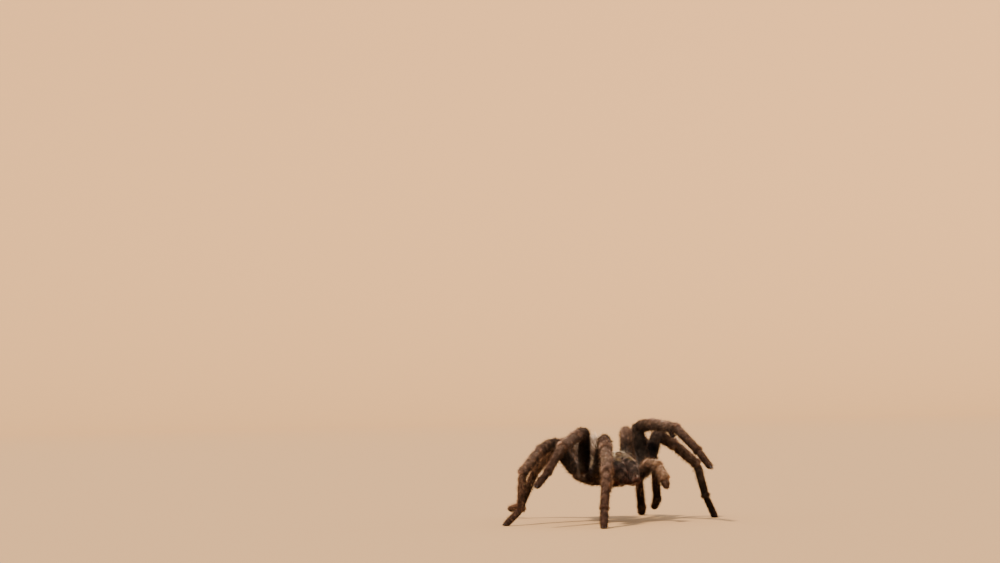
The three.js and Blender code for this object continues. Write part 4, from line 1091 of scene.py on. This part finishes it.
def share_out(rings, marks, pair, side):
    """Presses a coxa flat where it meets the ones before and behind it."""
    own = marks[:, 0] == 0
    for other in (pair - 1, pair + 1):
        if not 0 <= other <= 4:
            continue
        a = (coxa_root(pair, side) + coxa_root(other, side)) / 2
        b = (hip_of(pair, side) + hip_of(other, side)) / 2
        plane = unit(np.cross(b - a, STRAIGHT_UP))
        if plane @ (hip_of(pair, side) - b) < 0:
            plane = -plane
        over = COXA_GAP - (rings[own] - b) @ plane
        rings[own] = rings[own] + np.maximum(over, 0)[..., None] * plane
    return rings


def leg_coat(sheet, marks, up, fore, tips, pad_start, pair, length):
    """Hair of a limb, on a sheet whose columns face up and fore by those shares: a close coat,
    longer hair through it, a halo partly painted as backlit, bristles, a fringe before each joint,
    pale glints painted along the top, a few fine hairs on the joints, and the foot's brush and pad.
    The hair is paler along the back and darker below, partly painted light, and darker on the
    sides that face forward, painted shade."""
    segment, share, near = marks.T[..., None]
    place = segment + share
    top = np.clip(0.66 + 0.72 * up, 0, 1)
    joint = np.where(share > 0.5, bell(near, 0.2), bell(near, 0.6)) * np.where(place < 1.5, 0.15, 1)
    tips = dye(tips) * PALENESS[pair]
    knots = np.arange(len(tips)) + 0.5
    shade = np.stack([np.interp(place, knots, tips[:, k]) for k in range(3)], -1)
    pale = shade.mean(-1) / tips.mean(-1).max()
    # Painted shade: the sides that face forward darker, those facing back a little paler.
    shade = shade * (1 - 0.2 * np.clip(fore, -0.6, 1))[None, :, None]
    rows = np.ones_like(place)
    # Hair pale along the back and dark below: partly its own colour, partly painted top light and
    # under shade.
    tip = mix(dye(LEG_UNDER) * pale[..., None] ** 0.9, shade * LEG_BACK, top ** 2.2 * rows)
    tip = np.minimum(mix(tip, dye(JOINT_RING), 0.6 * bell(place - 0.985, 0.012)), dye(LEG_PALEST))
    stripe = bell(np.degrees(np.arcsin(np.clip(up, -1, 1))) - 58, 7)
    stripe = stripe * ((segment == 2) | (segment == 3)) * np.clip(near / 1.5, 0, 1)
    pad = np.clip((place - pad_start) / 0.12, 0, 1) * np.clip((-up - 0.25) / 0.3, 0, 1)
    # The skin is likewise paler along the back, partly painted top light.
    base = mix(dye(LEG_DEEP), shade * 0.45, 0.9 * top ** 2 * rows)
    base = mix(base, dye(JOINT_SKIN) * 0.8, joint * np.clip(0.1 - up, 0.05, 0.8))
    base = mix(base, dye(LEG_TIPS[2]) * 0.9, stripe * 0.5)
    sheet["deep"][:] = mix(base, dye(PAD_DEEP), pad)
    outside = np.where((segment < 1) & (share < 0.12), 0.0, 1.0)  # of the body
    clothed = np.clip(1 - 0.45 * joint - 0.5 * stripe, 0, 1) * (1 - pad) * outside
    fine = length * np.interp(place, *HAIR_RUN)
    fine = fine * np.where(share < 0.5, np.clip(0.45 + near / 1.6, 0, 1), 1)
    away = 1 - np.clip(up / 0.7, 0, 1)
    headroom = (LEG_CEILING - sheet["rings"][..., 2]) / 1.25
    room = np.clip(headroom, 0.3, 1.8 * length)
    tall = np.clip(headroom, 0.3, np.where(place < 4.5, 1.5, 1.2))
    bristle = np.minimum((1.3 + 0.7 * away) * fine, tall)
    fringe = bell(near - 0.45, 0.5) * ((segment > 1) & (segment < 5) & (share > 0.5))
    brightness, crowd = HALO[pair]
    # The long hair is pale partly as painted backlight.
    halo = dye(LEG_HALO) * brightness * np.sqrt(pale)[..., None]
    # Painted glints: sparse pale hairs along the top, fewer where the hair is dark.
    glint = mix(shade * LEG_BACK, dye(LEG_GLINT), 0.65 * pale)
    brush = np.clip((place - 4.3) / 0.6, 0, 1) * np.clip(0.75 - np.abs(up), 0, 1)
    return [
        comb(sheet, 26.5 * clothed, fine, 20, 0.085, tip, 1, spread=0.28),
        comb(sheet, 9 * clothed, 1.7 * fine, 22, 0.08, tip * 1.12, 1, spread=0.3),
        comb(sheet, crowd * (0.3 + 0.7 * top) * clothed, 0.9 * room, 56, 0.075, halo, 1,
             spread=0.4, deep=halo * 0.6),
        comb(sheet, (1.2 + 1.2 * away) * clothed, bristle, 66, 0.165, tip * 0.5, 2, 0.55,
             spread=0.5, deep=dye(PAD_DEEP)),
        comb(sheet, 80 * fringe, np.minimum(1.15 * length, room), 56, 0.15, tip * 1.1, 1,
             spread=0.3),
        comb(sheet, 4.0 * top ** 2 * clothed, 1.3 * fine, 26, 0.12, glint, 1, spread=0.5),
        comb(sheet, 1.5 * joint * outside, 1.1 * length, 22, 0.06, tip * 0.8, 2, 0.7, spread=0.3),
        comb(sheet, 50 * brush, 0.72 * length, 52, 0.075, tip * 0.8, 1, spread=0.45),
        comb(sheet, 60 * pad, 0.42 * length, 62, 0.06, dye(PAD_TIP), 1, spread=0.6),
    ]


def dress_limb(joints, backs, shapes, pair, side, tips, pad_start, length=1.0):
    """Skin of a limb from its coxa's root to its foot, its rings' marks, and its hair."""
    rings, marks, up, across = limb_rings([coxa_root(pair, side)] + joints, backs, shapes)
    rings = share_out(rings, marks, pair, side)
    sheet = skin_sheet(rings + BODY_PLACE, dye(LEG_DEEP))
    hair = leg_coat(sheet, marks, up, side * across, tips, pad_start, pair, length)
    return sheet, marks, hair


def build_spur(joints, backs, side):
    """The first leg's mating spur: a blunt horn under the tibia, with a black tip spine."""
    a, b = joints[2], joints[3]
    axis, back = unit(b - a), backs[2]
    inner = np.cross(axis, back) * side
    root = a + (b - a) * 0.82 - back * TIBIA_HALF * 0.5
    out = unit(-back + inner * 0.25 + axis * 0.55)
    middle = root + out * SPUR_LENGTH * 0.6
    tip = middle + out * SPUR_LENGTH * 0.32 + axis * SPUR_LENGTH * 0.27
    rings = horn_rings([root, middle, tip], SPUR_GIRTH, 20, 16) + BODY_PLACE
    sheet = skin_sheet(rings, dye(LEG_DEEP))
    spine = [tip - axis * 0.5, tip + axis * 0.1, tip + axis * 0.4 + back * 0.2]
    hair = [comb(sheet, 22, 0.5, 30, 0.06, dye(LEG_TIPS[3]) * 0.35, 1),
            comb(sheet, 5, 1.1, 45, 0.07, dye(LEG_TIPS[3]) * 0.5)]
    return hair, horn_rings(spine, SPINE_GIRTH, 12, 10) + BODY_PLACE


def build_legs():
    """Dresses the legs, and gives back each one's joints, for its claws, and the spurs'
    spines."""
    material = coat_material("leg_hair", 0.45, 0.03, 0.03)
    places, spines = [], []
    for name, (pair, side, *stride) in LEGS.items():
        joints, backs = leg_joints(pair, side, *stride)
        places.append((joints, backs))
        _, _, hair = dress_limb(joints, [STRAIGHT_UP] + backs, leg_shapes(pair), pair, side,
                                LEG_TIPS, LEG_PAD_START)
        if pair == 1:
            spur_hair, spine = build_spur(joints, backs, side)
            hair += spur_hair
            spines.append(spine)
        coat_piece("coat_" + name, hair, material)
    return places, spines


leg_places, spur_spines = build_legs()

# ---- Palps -----------------------------------------------------------------------------
# The pair of feelers beside the jaws, built like short legs. The coxa has a rusty fringe
# towards the mouth, and the blunt tarsus of the male carries a glossy pear-shaped bulb.
PALPS = {  # joints beyond the hip, on the left and the right
    1: ((6.7, -17.5, 20.2), (8.5, -21.0, 19.2), (9.4, -23.8, 15.0), (9.7, -24.6, 12.3)),
    -1: ((-9.0, -17.8, 19.4), (-10.6, -21.4, 18.0), (-11.8, -24.0, 14.2), (-12.2, -24.9, 11.6))}
PALP_HALF = (1.5, 1.6, 1.55, 1.4, 1.15)
PALP_COXA_HALF = 1.62
PALP_TIPS = ((44, 33, 28), (112, 83, 66), (150, 118, 96), (156, 126, 103), (66, 50, 42))
PALP_PAD_START = 4.35
PALP_HAIR = 1.05  # length of its hair beside that of a leg
BULB_PATH = (  # share along the tarsus, depth below
    (0.75, 0.5), (0.7, 1.3), (0.45, 1.9), (0.1, 1.95))
BULB_GIRTH = (0.5, 0.72, 0.48, 0.28, 0.1)
BULB_COLOUR, BULB_EDGE = (58, 24, 14), (96, 44, 24)


def palp_shapes():
    """Half width, half height and rise at shares along each segment, coxa to tarsus."""
    a, b, c, d, e = PALP_HALF
    return [
        coxa_shape(PALP_COXA_HALF),
        [(0, a, a, 0), (0.5, b, b * 1.02, 0), (1, b, b, 0)],
        [(0, b, b, 0), (0.5, b * 1.02, b, 0), (1, c, c, 0)],
        [(0, c, c, 0), (0.5, c * 1.02, c, 0), (1, d, d, 0)],
        [(0, d, d, 0), (0.5, d * 1.02, d, 0), (0.8, e, e, 0)],
    ]


def bulb_rings(a, b):
    axis = unit(b - a)
    below = unit(np.array([0, 1.0, 0]) - axis * axis[1])
    path = [a + (b - a) * s + below * d for s, d in BULB_PATH]
    return horn_rings(path, BULB_GIRTH, 20, 26) + BODY_PLACE


def build_palps():
    material = coat_material("palp_hair", 0.45, 0.03, 0.1)
    bulbs = []
    for side, name in ((1, "left"), (-1, "right")):
        joints = [hip_of(0, side)] + [np.array(p) for p in PALPS[side]]
        chain = [coxa_root(0, side)] + joints
        backs = [STRAIGHT_UP + 0.01 * unit(b - a) for a, b in zip(chain, chain[1:])]
        sheet, marks, hair = dress_limb(joints, backs, palp_shapes(), 0, side, PALP_TIPS,
                                        PALP_PAD_START, PALP_HAIR)
        inward = np.clip(sheet["normal"] @ [-side, 0, 0], 0, 1) * (marks[:, 0] == 0)[:, None]
        hair.append(comb(sheet, 12 * inward, 1.5, 55, 0.06, dye(RUST), 2, 0.8, spread=0.5))
        bulbs.append(bulb_rings(joints[3], joints[4]))
        coat_piece("coat_palp_" + name, hair, material)
    horn = glossy_material("bulb_horn", BULB_COLOUR, 0.2, BULB_EDGE)
    closed_piece("palp_bulbs", "fangs", bulbs, horn)


build_palps()

# ---- Spur spines and claws -------------------------------------------------------------
# Each mating spur ends in a short black spine. Each foot ends in two small curved claws of
# dark horn that reach forward and down, half hidden between the two tufts of its pad.
CLAW_LENGTH, CLAW_GIRTH = 1.25, (0.2, 0.2, 0.16, 0.1, 0.03)
CLAW_FLOOR = 0.12  # least height of a claw's point before its girth


def build_claws():
    claws = []
    for joints, backs in leg_places:
        axis = unit(joints[5] - joints[4])
        high = unit(backs[4] - axis * (axis @ backs[4]))
        wide = np.cross(axis, high)
        for side in (-1, 1):
            root = joints[5] - axis * TIP_INSET
            root = root + wide * side * TARSUS_TIP * 0.35 + high * TARSUS_TIP * 0.35
            middle = root + axis * (TARSUS_TIP + CLAW_LENGTH * 0.3) + wide * side * 0.1
            tip = middle + axis * CLAW_LENGTH * 0.45 - high * CLAW_LENGTH * 0.4
            lift = max(0.0, CLAW_FLOOR - tip[2])
            tip[2] += lift
            middle[2] += lift / 2
            rings = horn_rings([root, middle, tip], CLAW_GIRTH, 12, 16) + BODY_PLACE
            rings[..., 2] = np.maximum(rings[..., 2], CLAW_GIRTH[-1])
            claws.append(rings)
    closed_piece("claws", "fangs", claws, glossy_material("claw_horn", FANG_COLOUR, 0.4, coat=0.1))


closed_piece("spur_spines", "fangs", spur_spines, glossy_material("spur_horn", SPUR_COLOUR, 0.25))
build_claws()

# ---- Skin ------------------------------------------------------------------------------
# One skin over the whole animal, under the coat: matt, ridged by the short hair that lies
# flat on it, and with the same dark and pale markings as the hair that grows from it, painted
# light and shade included.
FLAT_HAIRS = (1100, 130, 1)  # round a limb and along it, across the unwrap


def skin_material():
    material, nodes, links, shader = node_material("soft_dark_skin", 0.7, 0.1)
    dappled_tint(nodes, links, shader, 700, 4, 0.7, 1.3)
    lie = nodes.new("ShaderNodeUVMap")
    lie.uv_map = "OFBake"
    along = nodes.new("ShaderNodeVectorMath")
    along.operation = "MULTIPLY"
    along.inputs[1].default_value = FLAT_HAIRS
    links.new(lie.outputs["UV"], along.inputs[0])
    flat_hair = set_inputs(nodes.new("ShaderNodeTexNoise"), Scale=1, Detail=2)
    links.new(along.outputs["Vector"], flat_hair.inputs["Vector"])
    bump = set_inputs(nodes.new("ShaderNodeBump"), Strength=0.6, Distance=0.00015)
    links.new(flat_hair.outputs["Fac"], bump.inputs["Height"])
    links.new(bump.outputs["Normal"], shader.inputs["Normal"])
    return material


def turns_outward(sheet):
    """Whether faces taken along each ring and then up to the next face outward."""
    rings = sheet["rings"]
    around, ahead = np.roll(rings, -1, 1) - rings, np.gradient(rings, axis=0)
    return (np.cross(around, ahead) * sheet["normal"]).sum() > 0


def build_skin():
    points, faces, spots, tint = [], [], [], []
    for sheet in skin_sheets:
        rings, deep, chart = sheet["rings"], sheet["deep"], sheet["chart"]
        n, m = rings.shape[:2]
        ends = chart[[0, 1, -1, -2]] + np.roll(chart[[0, 1, -1, -2]], -1, 1)
        chart = np.concatenate([chart, ends[::2] - ends[1::2] / 2])
        spin = 1 if turns_outward(sheet) else -1
        cells = [cell[::spin] for cell in tube_cells(n, m)]
        faces += numbered(cells, n, m, sum(len(p) for p in points))
        spots += [chart[corner] for cell in cells for corner in cell]
        points += [rings.reshape(-1, 3), rings[[0, -1]].mean(1)]
        tint += [deep.reshape(-1, 3), deep[[0, -1]].mean(1)]
    mesh = plain_mesh("skin", np.concatenate(points) * MM, faces)
    skin = tinted_piece("skin", mesh, np.concatenate(tint), spots, skin_material())
    horn = {"eye_tubercle", "fang_left", "fang_right"}
    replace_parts(skin, *sorted(set(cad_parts) - horn))


build_skin()
